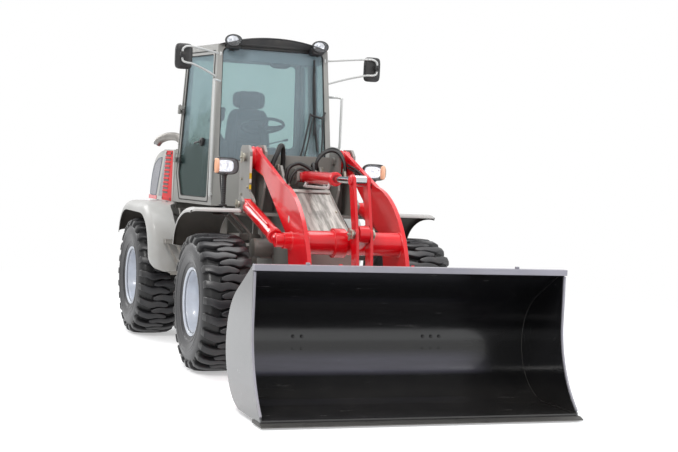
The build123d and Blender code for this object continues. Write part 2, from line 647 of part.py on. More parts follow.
def engine_hood():
    """The hinged rear hood: one sheet box, open below and towards the cowl."""
    (ys, zs), (yb, zb) = SEAM
    gap = PANEL_GAP
    outline = [(ys + gap, zs), *HOOD_REAR, (yb + gap, zb)]
    t = HOOD_T
    inner = [(ys - 60, zs - t), (1520, zs - t), (1856, 1575 - t), (2005, 1436), (2070, 1155), (yb - 60, 1155)]
    body = shell_of(outline, HOOD_X, t, inner)
    for side in (-1, 1):
        body += block(side * 380, side * 420, ys + 8, ys + 70, zs - 3, zs + 6)
        body += cross_bar(side * 380, side * 420, HOOD_HINGE, 13)
        body += block(side * 380, side * 420, HOOD_HINGE[0], ys + 60, zs + 1, zs + 12)
        body -= cross_bar(side * 370, side * 430, HOOD_HINGE, 6 + PIN_GAP)
    return body


def hood_hinges():
    """The cowl's half of the two hood hinges with their pins."""
    out = []
    zs = SEAM[0][1]
    for side in (-1, 1):
        ear = block(side * 426, side * 450, HOOD_HINGE[0] - 60, HOOD_HINGE[0] + 6, zs + SEAT_GAP, zs + 12)
        ear += cross_bar(side * 426, side * 450, HOOD_HINGE, 13)
        ear += cross_bar(side * 374, side * 450, HOOD_HINGE, 6)
        out.append(ear)
    return out


def rear_fender():
    """A rear fender: low front face, round top and short tail over the tyre."""
    line = [(1672, 880)] + arc_points((1330, 850), 320, 10, 90, 7)
    line += arc_points((700, 800), 370, 90, 175, 8) + [(345, 600)]
    sheet = side_plate(sheet_path(line, FENDER_T), FENDER_X[0] + 12, FENDER_X[1])
    return sheet + block(REAR_PLATE_X + SEAT_GAP, FENDER_X[0] + 30, 880, 960, 1125, 1165)


SIDE_BOX_X = 556


def side_box():
    """The side box between frame and fender, below the cab."""
    return block(REAR_PLATE_X + SEAT_GAP, SIDE_BOX_X, 262, 560, 560, DECK_Z - DECK_T - 4)


def access_step():
    """Two step plates on their hangers in front of the rear fender."""
    inner = SIDE_BOX_X + SEAT_GAP
    body = block(inner, 850, 232, 300, 866, 884)
    body += block(inner, 850, 232, 330, 470, 488)
    body += block(inner, inner + 12, 240, 320, 470, 884)
    body += block(838, 850, 240, 300, 470, 884)
    return body


def tail_lamp():
    """A rear light cluster on the counterweight's back."""
    return block(430, 560, REAR_Y - 150, REAR_Y - 40, DECK_Z - 180, DECK_Z - 60) - counterweight()


# ---------------------------------------------------------------- cab
CAB_Z0 = DECK_Z + 30
CAB_Z1 = 2522
CAB_WALL = 46
DOOR_T = 34
GLASS_T = 6
GLASS_IN = 12          # from the outer face of a panel to the outer face of its pane
CAB_PLANES = {
    "front": ((0, 50, 1200), (0, -1300, 150)),
    "side_front": ((530, 50, 1200), (1, -0.18, 0.058)),
    "side_rear": ((665, 820, 1200), (1, 0.25, 0.058)),
    "rear": ((0, 1085, 1200), (0, 1, 0.04)),
}


def cab_block(inset, z0=CAB_Z0, z1=CAB_Z1):
    """The cab's outer form, every wall moved inward by the inset."""
    body = block(-900, 900, -200, 1400, z0, z1)
    for point, normal in CAB_PLANES.values():
        for side in ((1, -1) if normal[0] else (1,)):
            n = Vector(side * normal[0], normal[1], normal[2]).normalized()
            at = Vector(side * point[0], point[1], point[2]) - n * inset
            body = split(body, bisect_by=Plane(origin=at, z_dir=n), keep=Keep.BOTTOM)
    return body


def side_prism(points, radius, x0=300, x1=900, grow=0.0):
    """An opening seen from the side, with rounded corners, carried across one cab wall."""
    face = make_face(Polyline(*points, close=True))
    if grow:
        face = offset_2d_face(face, grow)
    if radius:
        face = fillet(face.vertices(), radius)
    return Pos(x0, 0, 0) * extrude(Plane.YZ * face, x1 - x0, dir=(1, 0, 0))


def offset_2d_face(face, amount):
    """A face grown by an amount, or shrunk by a negative one, with sharp corners kept."""
    return offset(face, amount, kind=Kind.INTERSECTION)


def front_prism(points, radius, y0, y1, grow=0.0):
    """An opening seen from the front or back, carried across that wall."""
    face = make_face(Polyline(*points, close=True))
    if grow:
        face = offset_2d_face(face, grow)
    if radius:
        face = fillet(face.vertices(), radius)
    solid = extrude(Plane.XZ * face, y1 - y0, dir=(0, 1, 0))
    return Pos(0, y0, 0) * solid


DOOR_EDGE = [(118, 1206), (238, 2470), (792, 2470), (792, 1420), (690, 1206)]
DOOR_PANE = [(156, 1240), (269, 2438), (760, 2438), (760, 1432), (668, 1240)]
PANE_CORNER = 26
QUARTER_PANE = [(868, 1420), (868, 2440), (978, 2440), (1014, 1420)]
WINDSCREEN = [(-470, 1560), (-442, 2500), (442, 2500), (470, 1560)]
REAR_PANE = [(-500, 1680), (-480, 2440), (480, 2440), (500, 1680)]


def cab_frame():
    """Pillars, sills, roof rails and floor, hollow, with the door and window openings."""
    room = cab_block(CAB_WALL, CAB_Z0 + 26, CAB_Z1 + 10)
    body = cab_block(0) - room
    body += cab_block(CAB_WALL - 5, CAB_Z1 - 20, CAB_Z1) - cab_block(CAB_WALL + 60, CAB_Z1 - 30, CAB_Z1 + 10)
    for wall in (side_prism(DOOR_EDGE, 0), side_prism(QUARTER_PANE, 30)):
        body -= wall
        body -= mirrored(wall)
    body -= front_prism(WINDSCREEN, 50, -200, 420)
    body -= front_prism(REAR_PANE, 50, 900, 1300)
    return body


def wall_skin(outer, inner):
    """The layer of the cab's walls between two insets."""
    return cab_block(outer) - cab_block(inner)


def cab_door():
    """A door as thick as the wall, its pane's opening cut, with its two hinge knuckles."""
    body = wall_skin(0, DOOR_T) & side_prism(DOOR_EDGE, 0, grow=-PANEL_GAP)
    body -= side_prism(DOOR_PANE, PANE_CORNER)
    for z in DOOR_HINGE_Z:
        body += door_knuckle(z, -1)
    for z in DOOR_HINGE_Z:
        body -= door_pin(z, PIN_GAP)
    return body


DOOR_HINGE_Z = (1560, 1980)
HINGE_R = 15
HINGE_PIN_R = 6
HINGE_LEAN = Vector(-0.058, 0, 1).normalized()


def hinge_point(z):
    """A point on the left door's hinge line, just outside the rear pillar."""
    return Vector(665 + 20 - 0.058 * (z - 1200), 806, z)


def door_knuckle(z, end):
    """Half a hinge: below the middle for the pillar, above it for the door."""
    at = hinge_point(z)
    low = at + HINGE_LEAN * (1 if end < 0 else -37)
    knuckle = extrude(Plane(origin=low, z_dir=HINGE_LEAN) * Circle(HINGE_R), 36)
    y0, y1 = (at.Y - 60, at.Y) if end < 0 else (at.Y, at.Y + 60)
    strap = block(at.X - 14, at.X, y0, y1, low.Z + 3, low.Z + 33)
    pad_y = (at.Y - 60, at.Y - 24) if end < 0 else (at.Y + 6, at.Y + 60)
    pad = block(at.X - 60, at.X - 6, *pad_y, low.Z + 3, low.Z + 33) - cab_block(0)
    pad = max(pad.solids(), key=lambda s: s.volume)
    return knuckle + (strap - cab_block(-1)) + pad


def door_pin(z, grow=0.0):
    """The hinge pin, through both knuckles."""
    at = hinge_point(z) - HINGE_LEAN * 40
    return extrude(Plane(origin=at, z_dir=HINGE_LEAN) * Circle(HINGE_PIN_R + grow), 84)


def door_glass():
    """The pane in a door's opening."""
    return wall_skin(GLASS_IN, GLASS_IN + GLASS_T) & side_prism(DOOR_PANE, PANE_CORNER - SEAT_GAP, grow=-SEAT_GAP)


def windscreen():
    return wall_skin(GLASS_IN, GLASS_IN + GLASS_T) & front_prism(WINDSCREEN, 50, 0, 400, grow=-SEAT_GAP)


def cab_windows():
    """The rear pane and the two quarter panes."""
    skin = wall_skin(GLASS_IN, GLASS_IN + GLASS_T)
    quarter = skin & side_prism(QUARTER_PANE, 30, grow=-SEAT_GAP)
    rear = skin & front_prism(REAR_PANE, 50, 950, 1300, grow=-SEAT_GAP)
    return [quarter, mirrored(quarter), rear]


ROOF_ARC_R = 1450


def cab_roof():
    """The arched roof panel on the cab's rails."""
    top = cab_block(-28, CAB_Z1, CAB_ROOF_Z + 40)
    arch = bar((0, -400, CAB_ROOF_Z - ROOF_ARC_R), (0, 1500, CAB_ROOF_Z - ROOF_ARC_R), ROOF_ARC_R)
    return top & arch


def work_lamp():
    """An oval work lamp at a front corner of the roof."""
    stem = block(360, 400, 140, 200, 2532, 2560) - cab_roof()
    return bar((380, 60, 2548), (380, 148, 2548), 56) + min(stem.solids(), key=lambda s: s.center().Y)


SEAT_H = 175           # from the cab's floor to the cushion
CUSHION_T = 110
BACK_H = 530
HEAD_H = 160


def seat():
    """Pedestal, cushion, backrest and headrest."""
    floor = CAB_Z0 + 26
    top = floor + SEAT_H
    pedestal = block(-180, 180, 600, 880, floor, top)
    cushion = block(-240, 240, 480, 900, top + SEAT_GAP, top + CUSHION_T)
    top += CUSHION_T
    back = block(-230, 230, 830, 930, top + SEAT_GAP, top + BACK_H)
    top += BACK_H
    head = block(-150, 150, 830, 925, top + SEAT_GAP, top + HEAD_H)
    return pedestal, [cushion, back, head]


WHEEL_AT = Vector(0, 430, 1868)
WHEEL_AXIS = Vector(0, 0.32, 0.95).normalized()


def steering_column():
    """Dash column with the steering wheel on it."""
    body = block(-110, 110, 200, 330, CAB_Z0 + 26, 1640)
    body += bar((0, 290, 1560), tuple(WHEEL_AT), 32)
    plane = Plane(origin=WHEEL_AT, z_dir=WHEEL_AXIS)
    ring = plane * Torus(180, 14)
    spoke = plane * Box(360, 30, 12)
    return body + ring + spoke


def mirror_head():
    """A mirror on its two tube arms, rooted on the front pillar."""
    body = block(745, 890, -20, 30, 2280, 2485)
    body += tube([(465, 215, 2440), (640, 80, 2452), (800, 5, 2450)], 9, 60)
    body += tube([(475, 205, 2240), (640, 80, 2300), (800, 5, 2310)], 9, 60)
    return body - cab_block(-0.3)


def handrail(side):
    """A grab rail beside a front pillar."""
    x = side * 575
    points = [(side * 520, 92, 1280), (x, 40, 1280), (x, 40, 2180), (side * 505, 130, 2180)]
    return tube(points, 12, 30) - cab_block(-0.3)


# ---------------------------------------------------------------- export
def build():
    keep("front_frame", front_frame())
    keep("front_cover", front_cover())
    keep("front_fenders", *both(front_fender()))
    keep("hydraulic_hoses", *(hydraulic_hose(*row) for row in HOSES))
    keep("headlamps", *both(headlamp()))
    keep("front_axle", axle(FRONT_AXLE_Y, 300, SPINE_X - 10))
    keep("rear_axle", axle(REAR_AXLE_Y, -300, REAR_PLATE_X - 12))
    for name, side, y in (
        ("front_left", 1, FRONT_AXLE_Y),
        ("front_right", -1, FRONT_AXLE_Y),
        ("rear_left", 1, REAR_AXLE_Y),
        ("rear_right", -1, REAR_AXLE_Y),
    ):
        keep("tyre_" + name, tyre(side, y))
        keep("rim_" + name, rim(side, y))
    keep("lift_arm", lift_arm())
    keep("tip_shaft", tip_shaft())
    keep("bellcrank_pin", cross_bar(-BELL_OUT - 12, BELL_OUT + 12, BELL_PIVOT, BELL_PIN_R))
    keep("bellcrank", bellcrank())
    keep("tilt_link", tilt_link())
    keep("lift_cylinder_barrels", *both(lift_barrel()))
    keep("lift_cylinder_rods", *both(lift_rod()))
    keep("tilt_cylinder_barrel", tilt_barrel())
    keep("tilt_cylinder_rod", tilt_rod())
    keep("quick_hitch", quick_hitch())
    keep("bucket", bucket())
    keep("cutting_edge", cutting_edge())
    keep("rear_frame", rear_frame())
    keep("counterweight", counterweight())
    keep("engine_block", engine_block())
    keep("engine_cowl", engine_cowl())
    keep("side_louvres", *side_louvres())
    keep("hood_hinges", *hood_hinges())
    keep("exhaust_pipe", exhaust_pipe())
    keep("engine_hood", engine_hood())
    keep("rear_fenders", *both(rear_fender()))
    keep("side_boxes", *both(side_box()))
    keep("access_steps", *both(access_step()))
    keep("tail_lamps", *both(tail_lamp()))
    pillar = cab_frame()
    for z in DOOR_HINGE_Z:
        knuckle = door_knuckle(z, 1) + door_pin(z)
        pillar += knuckle
        pillar += mirrored(knuckle)
    keep("cab_frame", pillar)
    door, pane = cab_door(), door_glass()
    for name, left in (("left", True), ("right", False)):
        keep("cab_door_" + name, door if left else mirrored(door))
        keep("door_glass_" + name, pane if left else mirrored(pane))
        side = 1 if left else -1
        keep("steering_barrel_" + name, steer_barrel(side))
        keep("steering_rod_" + name, steer_rod(side))
    keep("windscreen", windscreen())
    keep("cab_windows", *cab_windows())
    keep("cab_roof", cab_roof())
    keep("work_lamps", *both(work_lamp()))
    pedestal, cushions = seat()
    keep("seat_pedestal", pedestal)
    keep("seat_cushions", *cushions)
    keep("steering_column", steering_column())
    keep("mirrors", *both(mirror_head()))
    keep("handrails", handrail(1), handrail(-1))


def main():
    build()
    os.makedirs(PARTS, exist_ok=True)
    for name, solids in NODES.items():
        moved = [Pos(0, -MID_Y, 0) * s for s in solids]
        shape = moved[0] if len(moved) == 1 else Compound(children=moved)
        export_step(shape, os.path.join(PARTS, name + ".step"))


if __name__ == "__main__":
    main()
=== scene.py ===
# %% [markdown]
# # A compact wheel loader, finished in Blender
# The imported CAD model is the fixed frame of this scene: its bodies, pins and plates stay where they are.
# Everything below either paints a CAD node or adds a piece that rides on one of the bodies.
# New shapes are numpy surfaces, so each one can be changed by changing its formula.

import json
import math

import bmesh
import bpy
import numpy as np
from mathutils import Matrix, Vector


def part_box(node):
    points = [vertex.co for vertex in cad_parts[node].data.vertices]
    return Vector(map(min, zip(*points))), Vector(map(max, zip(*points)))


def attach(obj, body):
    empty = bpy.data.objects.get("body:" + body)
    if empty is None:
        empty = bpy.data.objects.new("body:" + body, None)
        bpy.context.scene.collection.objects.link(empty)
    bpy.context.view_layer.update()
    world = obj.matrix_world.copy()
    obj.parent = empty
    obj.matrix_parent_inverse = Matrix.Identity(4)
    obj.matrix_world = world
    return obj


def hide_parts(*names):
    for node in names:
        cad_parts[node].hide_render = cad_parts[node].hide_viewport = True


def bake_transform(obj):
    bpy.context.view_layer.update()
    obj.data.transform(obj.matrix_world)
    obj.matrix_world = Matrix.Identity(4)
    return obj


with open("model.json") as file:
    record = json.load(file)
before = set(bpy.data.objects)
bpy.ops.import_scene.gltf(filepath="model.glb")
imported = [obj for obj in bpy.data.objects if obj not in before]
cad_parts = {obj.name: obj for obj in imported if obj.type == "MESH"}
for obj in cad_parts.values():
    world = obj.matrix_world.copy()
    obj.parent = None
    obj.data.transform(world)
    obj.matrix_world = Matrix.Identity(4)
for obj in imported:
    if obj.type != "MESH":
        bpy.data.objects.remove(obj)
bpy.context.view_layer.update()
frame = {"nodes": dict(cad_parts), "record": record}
record = frame["record"]
PLACES = {j["name"]: np.array(j["pos_m"]) for j in record["behaviour"]["joints"] if "pos_m" in j}
STEER = np.array([0, PLACES["articulation"][1], 0])
PIN = {name: place - STEER for name, place in PLACES.items()}
WHEELS = ("front_left", "front_right", "rear_left", "rear_right")

# %% [markdown]
# Every size below is given from the steering pins: x to the machine's left, y to the rear and z up from the
# ground. STEER is where that point lies in the frame, and it is added once, when a piece becomes a mesh.


# %% [markdown]
# ## The camera and the studio
# The camera stands well off the front right corner with a long lens, a little above hood height.
# It is turned by yaw, pitch and a small roll, so its three axes are worked out and put in a matrix.

# %% Camera
CAMERA_AT = Vector(STEER + (-3.4615, -10.8351, 1.5686))
YAW, PITCH, ROLL = 0.3572, 0.0450, 0.0462
FOCAL_OVER_WIDTH, SENSOR_WIDTH = 1367.35 / 678, 36
LENS = FOCAL_OVER_WIDTH * SENSOR_WIDTH

forward = Vector((math.sin(YAW) * math.cos(PITCH), math.cos(YAW) * math.cos(PITCH), -math.sin(PITCH)))
level_right = Vector((math.cos(YAW), -math.sin(YAW), 0))
level_up = level_right.cross(forward)
right = level_right * math.cos(ROLL) + level_up * math.sin(ROLL)
up = level_up * math.cos(ROLL) - level_right * math.sin(ROLL)
camera_data = bpy.data.cameras.new("camera")
camera_data.lens = LENS
camera = bpy.data.objects.new("camera", camera_data)
bpy.context.collection.objects.link(camera)
camera.matrix_world = Matrix.Translation(CAMERA_AT) @ Matrix((right, up, -forward)).transposed().to_4x4()
bpy.context.scene.camera = camera
print("camera lens", round(LENS, 1))

# %% [markdown]
# ## Shader maths that reads as Python
# A material is a network of nodes. The Value class below wraps one output socket, and its operators add
# Math nodes, so a mask can be written as an ordinary expression. Every other node comes from Finish.add.


# %% Value and Finish
class Value:
    """One output socket of a finish. Its operators add Math nodes to the same finish."""

    def __init__(self, finish, socket):
        self.finish = finish
        self.socket = socket

    def maths(self, operation, first, second):
        return self.finish.add("ShaderNodeMath", {"operation": operation}, {0: first, 1: second})

    def __add__(self, other):
        return self.maths("ADD", self, other)

    def __sub__(self, other):
        return self.maths("SUBTRACT", self, other)

    def __mul__(self, other):
        return self.maths("MULTIPLY", self, other)

    def __rsub__(self, other):
        return self.maths("SUBTRACT", other, self)

    def absolute(self):
        return self.maths("ABSOLUTE", self, 0.0)

    def clamped(self):
        return self.finish.add("ShaderNodeClamp", {}, {0: self})

    __radd__ = __add__
    __rmul__ = __mul__


class Finish:
    """A material or a world under construction: add makes any node, the others are the patterns used here."""

    def __init__(self, name, owners=bpy.data.materials):
        self.owner = owners.new(name)
        self.owner.use_nodes = True
        self.tree = self.owner.node_tree
        self.tree.nodes.clear()
        self.place = self.add("ShaderNodeTexCoord", {}, {}, "Object")

    def add(self, kind, settings, values, out=0):
        """Adds a node: its settings first, then the values or links of its sockets; returns one output."""
        node = self.tree.nodes.new(kind)
        for name, value in settings.items():
            setattr(node, name, value)
        for name, value in values.items():
            if isinstance(value, Value):
                self.tree.links.new(value.socket, node.inputs[name])
            else:
                node.inputs[name].default_value = value
        return Value(self, node.outputs[out]) if node.outputs else None

    def noise(self, scale, detail=3.0, rough=0.5, place=None):
        values = {"Vector": place or self.place, "Scale": scale, "Detail": detail, "Roughness": rough}
        return self.add("ShaderNodeTexNoise", {}, values, "Fac")

    def cells(self, scale, settings=None, randomness=1.0):
        """Distance from the nearest of scattered points; at randomness 0 they stand on a square grid."""
        values = {"Vector": self.place, "Scale": scale, "Randomness": randomness}
        return self.add("ShaderNodeTexVoronoi", settings or {}, values, "Distance")

    def waves(self, letter, scale):
        """Even waves that run across one axis."""
        return self.add(
            "ShaderNodeTexWave", {"bands_direction": letter}, {"Vector": self.place, "Scale": scale}, "Fac"
        )

    def stretched(self, scale):
        """The place, multiplied along each axis, which stretches a pattern that reads it."""
        return self.add("ShaderNodeMapping", {}, {"Vector": self.place, "Scale": scale})

    def axis(self, letter):
        return self.add("ShaderNodeSeparateXYZ", {}, {0: self.place}, letter)

    def step(self, value, low, high):
        """0 below low, 1 above high, smooth between."""
        settings = {"interpolation_type": "SMOOTHSTEP"}
        return self.add("ShaderNodeMapRange", settings, {"Value": value, 1: low, 2: high})

    def mix(self, factor, first, second):
        return self.add("ShaderNodeMix", {"data_type": "RGBA"}, {0: factor, 6: first, 7: second}, 2)

    def bump(self, height, distance, strength=1.0, normal=None):
        values = {"Height": height, "Distance": distance, "Strength": strength}
        if normal:
            values["Normal"] = normal
        return self.add("ShaderNodeBump", {}, values)

    def soft_edges(self, radius):
        """A normal that rounds sharp edges off, so that they catch the light."""
        return self.add("ShaderNodeBevel", {"samples": 4}, {"Radius": radius})

    def done(self, **sockets):
        """Ends the finish with a Principled shader."""
        values = {name.replace("_", " "): value for name, value in sockets.items()}
        return self.end(self.add("ShaderNodeBsdfPrincipled", {}, values))

    def end(self, shader, output="ShaderNodeOutputMaterial"):
        self.add(output, {}, {"Surface": shader})
        return self.owner


def tone(red, green, blue):
    """A display colour of 0 to 255, as the linear colour that shaders take."""
    shares = (red / 255, green / 255, blue / 255)
    return (*(c / 12.92 if c <= 0.04045 else ((c + 0.055) / 1.055) ** 2.4 for c in shares), 1.0)


def scaled(colour, share, lift=0.0):
    """A linear colour made lighter or darker, each channel kept at 1 or less."""
    return (*(min(c * share + lift, 1.0) for c in colour[:3]), 1.0)


print("red of 255 is linear", tone(255, 0, 0)[0])


# %% [markdown]
# ## Floor and light
# The floor and the world look white to the camera and to reflections, and light the machine softly.
# Four large area lamps give the paint its long highlights.

# %% Stage and lamps
def seen_or_reflected(finish):
    """1 for rays from the camera, off gloss and through glass."""
    outputs = ("Is Camera Ray", "Is Glossy Ray", "Is Transmission Ray")
    seen, glossy, through = (finish.add("ShaderNodeLightPath", {}, {}, out) for out in outputs)
    return (seen + glossy + through).clamped()


def floor_finish():
    finish = Finish("studio_floor")
    matt = finish.add("ShaderNodeBsdfDiffuse", {}, {"Color": (0.80, 0.80, 0.80, 1)})
    glow = finish.add("ShaderNodeEmission", {}, {"Color": (1, 1, 1, 1), "Strength": 0.42})
    near = finish.add("ShaderNodeAddShader", {}, {0: matt, 1: glow})
    away = finish.add("ShaderNodeVectorMath", {"operation": "LENGTH"}, {0: finish.place}, "Value")
    white = finish.add("ShaderNodeEmission", {}, {"Color": (1, 1, 1, 1), "Strength": 1.0})
    far = finish.step(away, 3.4, 8.0)
    both = finish.add("ShaderNodeMixShader", {}, {0: far, 1: near, 2: white})
    return finish.end(finish.add("ShaderNodeMixShader", {}, {0: seen_or_reflected(finish), 1: matt, 2: both}))


FLOOR_HALF = 60.0
floor_mesh = bpy.data.meshes.new("studio_floor")
corners = [(-FLOOR_HALF, -FLOOR_HALF, 0), (FLOOR_HALF, -FLOOR_HALF, 0), (FLOOR_HALF, FLOOR_HALF, 0)]
floor_mesh.from_pydata([*corners, (-FLOOR_HALF, FLOOR_HALF, 0)], [], [(0, 1, 2, 3)])
floor_mesh.materials.append(floor_finish())
studio_floor = bpy.data.objects.new("studio_floor", floor_mesh)
bpy.context.collection.objects.link(studio_floor)

SKY_LIGHT, SKY_SEEN = (0.56, 0.58, 0.60, 1), (1, 1, 1, 1)
sky = Finish("studio", bpy.data.worlds)
sky_colour = sky.mix(seen_or_reflected(sky), SKY_LIGHT, SKY_SEEN)
background = sky.add("ShaderNodeBackground", {}, {"Color": sky_colour})
bpy.context.scene.world = sky.end(background, "ShaderNodeOutputWorld")

LAMPS = (
    # name, place from the steering pins, size, power, colour
    ("key", (-6.0, -8.0, 9.4), 2.8, 660, (1.0, 0.985, 0.97)),
    ("fill", (7.0, -6.5, 4.5), 5.0, 260, (0.95, 0.98, 1.0)),
    ("back", (-5.0, 7.5, 6.0), 4.5, 320, (1.0, 1.0, 1.0)),
    ("top", (0.5, 0.0, 9.0), 5.5, 330, (1.0, 1.0, 1.0)),
)
for name, place, size, power, colour in LAMPS:
    lamp_data = bpy.data.lights.new(name, "AREA")
    lamp_data.size = size
    lamp_data.energy = power
    lamp_data.color = colour
    lamp = bpy.data.objects.new(name, lamp_data)
    bpy.context.collection.objects.link(lamp)
    lamp.location = STEER + place
    aim = Vector(STEER + (0, 0, 1.0)) - lamp.location
    lamp.rotation_euler = aim.to_track_quat("-Z", "Y").to_euler()
bpy.context.scene.view_settings.view_transform = "Standard"
print("lamps", len(LAMPS))


# %% [markdown]
# ## Enamels
# Machine enamel is a smooth, slightly wavy skin: a faint orange-peel bump, colour that drifts a little, and
# road dust that is thicker near the ground and in patches. One function makes every colour of it.

# %% Enamel
def enamel(name, colour, roughness=0.32, coat=0.35, dust=0.25, dust_top=1.3):
    """Painted steel: base colour times a slow drift, plus dust by height, with an orange-peel bump."""
    finish = Finish(name)
    drift = finish.noise(1.7, 4.0, 0.6)
    patches = finish.noise(9.0, 5.0, 0.65)
    fine = finish.noise(70.0, 3.0, 0.6)
    low = 1 - finish.step(finish.axis("Z"), 0.15, dust_top)
    mask = (low * 0.75 + 0.12) * finish.step(patches + fine * 0.25, 0.42, 0.86) * dust
    base = finish.mix(finish.step(drift, 0.3, 0.7), scaled(colour, 0.86), scaled(colour, 1.07, 0.004))
    base = finish.mix(mask, base, tone(150, 140, 124))
    rough = mask * 0.5 + patches * 0.10 + (roughness - 0.05)
    peel = finish.bump(finish.noise(260.0, 2.0), 0.0006, 0.22, finish.soft_edges(0.004))
    return finish.done(Base_Color=base, Roughness=rough, Normal=peel, Coat_Weight=coat, Coat_Roughness=0.08)


RED = enamel("red_enamel", tone(226, 8, 26), 0.24, 0.5, 0.03)
RED_PLASTIC = enamel("red_plastic", tone(214, 2, 16), 0.62, 0.0, 0.02)
WARM_GREY = enamel("warm_grey_enamel", tone(180, 179, 176), 0.42, 0.2, 0.30)
LIGHT_GREY = enamel("light_grey_enamel", tone(186, 185, 180), 0.40, 0.2, 0.22)
RIM_WHITE = enamel("rim_white_enamel", tone(200, 206, 217), 0.34, 0.3, 0.30, 1.2)
DARK_METAL = enamel("dark_metal_enamel", tone(58, 57, 55), 0.45, 0.1, 0.35)
FRAME_GREY = enamel("frame_grey_enamel", tone(138, 135, 130), 0.45, 0.15, 0.45)
print("enamels", len((RED, RED_PLASTIC, WARM_GREY, LIGHT_GREY, RIM_WHITE, DARK_METAL, FRAME_GREY)))


# %% [markdown]
# ## The bucket's black
# The bucket is near black and glossy. Loads slide over the floor and up the back, so faint long scuffs run
# from side to side and dull the gloss in streaks.

# %% Bucket black
def bucket_black():
    """Glossy black: noise stretched across the bucket raises the roughness and lifts the colour a little; a
    blue-grey band at a fixed height is a painted reflection.
    """
    finish = Finish("bucket_black")
    streaks = finish.noise(1.0, 6.0, 0.7, finish.stretched((3.0, 26.0, 26.0)))
    clouds = finish.noise(4.0, 4.0, 0.6)
    fine = finish.noise(120.0, 2.0)
    scuff = finish.step(streaks, 0.52, 0.74) * finish.step(clouds, 0.35, 0.7)
    base = finish.mix(scuff * 0.5, tone(22, 22, 24), tone(62, 61, 60))
    low = 1 - finish.step(finish.axis("Z"), 0.02, 0.30)
    base = finish.mix(low * clouds * 0.22, base, tone(104, 100, 94))
    high, reach = finish.axis("Z"), finish.axis("X")
    # Painted reflection: a blue-grey band at a fixed height, broken by the streaks, stands for light that the
    # glossy bucket reflects.
    reflection_band = finish.step(high, 0.185, 0.225) * (1 - finish.step(high, 0.285, 0.365))
    painted_reflection = reflection_band * (1 - finish.step(reach, 0.58, 0.86))
    base = finish.mix(painted_reflection * (streaks * 0.5 + 0.62), base, tone(88, 86, 99))
    outside = finish.step(reach.absolute(), 1.0555, 1.0600)
    base = finish.mix(outside * (clouds * 0.3 + 0.75), base, tone(106, 107, 108))
    rough = scuff * 0.20 + clouds * 0.10 + 0.12
    peel = finish.bump(fine + streaks * 2.0, 0.0006, 0.25, finish.soft_edges(0.005))
    return finish.done(Base_Color=base, Roughness=rough, Normal=peel, Coat_Weight=0.22, Coat_Roughness=0.10)


BUCKET_BLACK = bucket_black()


# %% [markdown]
# ## Bare metals
# The cylinder rods are hard chrome, the pins machined steel and the cutting edge is worn bright in streaks.

# %% Metals
def bare_metal(name, colour, roughness, streak_scale, streak):
    """Metal: the roughness and a bump follow one noise, stretched by streak_scale."""
    finish = Finish(name)
    lines = finish.noise(1.0, 5.0, 0.6, finish.stretched(streak_scale))
    stain = finish.noise(14.0, 4.0, 0.6)
    base = finish.mix(finish.step(stain, 0.5, 0.8) * streak, colour, scaled(colour, 0.62))
    rough = lines * streak * 0.35 + stain * 0.06 + roughness
    brushed = finish.bump(lines, 0.0004, 0.2, finish.soft_edges(0.002))
    return finish.done(Base_Color=base, Metallic=1.0, Roughness=rough, Normal=brushed)


CHROME = bare_metal("hard_chrome", tone(205, 207, 210), 0.05, (60.0, 60.0, 60.0), 0.15)
PIN_STEEL = bare_metal("pin_steel", tone(150, 150, 150), 0.24, (90.0, 90.0, 90.0), 0.5)
WORN_STEEL = bare_metal("worn_steel", tone(96, 95, 93), 0.34, (40.0, 9.0, 40.0), 0.9)
EXHAUST_STEEL = bare_metal("exhaust_steel", tone(150, 147, 143), 0.30, (14.0, 14.0, 30.0), 0.8)
CASTING = enamel("engine_casting", tone(60, 62, 62), 0.6, 0.0, 0.5)


# %% [markdown]
# ## Rubber, plastic, cloth and glass
# Moulded plastic has a fine pebbled grain, rubber is duller with a dusty bloom, and the seat's cloth is a
# small basket weave. The cab glass is a thin green tint: clear enough to see the seat through two panes.

# %% Plastics, rubber and cloth
def moulded(name, colour, roughness, grain, grain_height, bloom=0.15):
    """Plastic or rubber: a pebble grain from cell noise, and a pale bloom where broad noise is high."""
    finish = Finish(name)
    cells = finish.cells(grain)
    broad = finish.noise(7.0, 5.0, 0.65)
    fine = finish.noise(60.0, 3.0)
    mask = finish.step(broad + fine * 0.2, 0.48, 0.85) * bloom
    base = finish.mix(mask, colour, tone(118, 112, 104))
    rough = mask * 0.5 + fine * 0.08 + roughness
    pebble = finish.bump(cells, grain_height, 0.5, finish.soft_edges(0.002))
    return finish.done(Base_Color=base, Roughness=rough, Normal=pebble)


BLACK_PLASTIC = moulded("black_plastic", tone(30, 30, 32), 0.45, 420.0, 0.0004)
BLACK_RUBBER = moulded("black_rubber", tone(24, 24, 25), 0.6, 260.0, 0.0003, 0.2)


def tyre_rubber(name, colour, groove_shade):
    """Rubber that is greyer on the lugs' tops and darker between them as painted shade, by the piece's own
    depth attribute.
    """
    finish = Finish(name)
    deep = finish.add("ShaderNodeAttribute", {"attribute_name": "depth"}, {}, "Fac")
    broad = finish.noise(7.0, 5.0, 0.65)
    fine = finish.noise(80.0, 4.0, 0.6)
    dust = finish.step(broad + fine * 0.2, 0.48, 0.85) * 0.18
    base = finish.mix(dust, colour, tone(98, 95, 92))
    # Painted shade: the rubber darkens to near black in the grooves between the lugs.
    base = finish.mix(deep * 0.9, base, groove_shade)
    rough = dust * 0.4 + fine * 0.10 + 0.30
    grain = finish.bump(fine, 0.0012, 0.4, finish.soft_edges(0.003))
    return finish.done(Base_Color=base, Roughness=rough, Normal=grain)


# tone(6, 6, 7) is the painted shade of the grooves.
TYRE_RUBBER = tyre_rubber("tyre_rubber", tone(37, 37, 40), tone(6, 6, 7))
HOSE_RUBBER = moulded("hose_rubber", tone(20, 20, 21), 0.38, 300.0, 0.0003, 0.08)


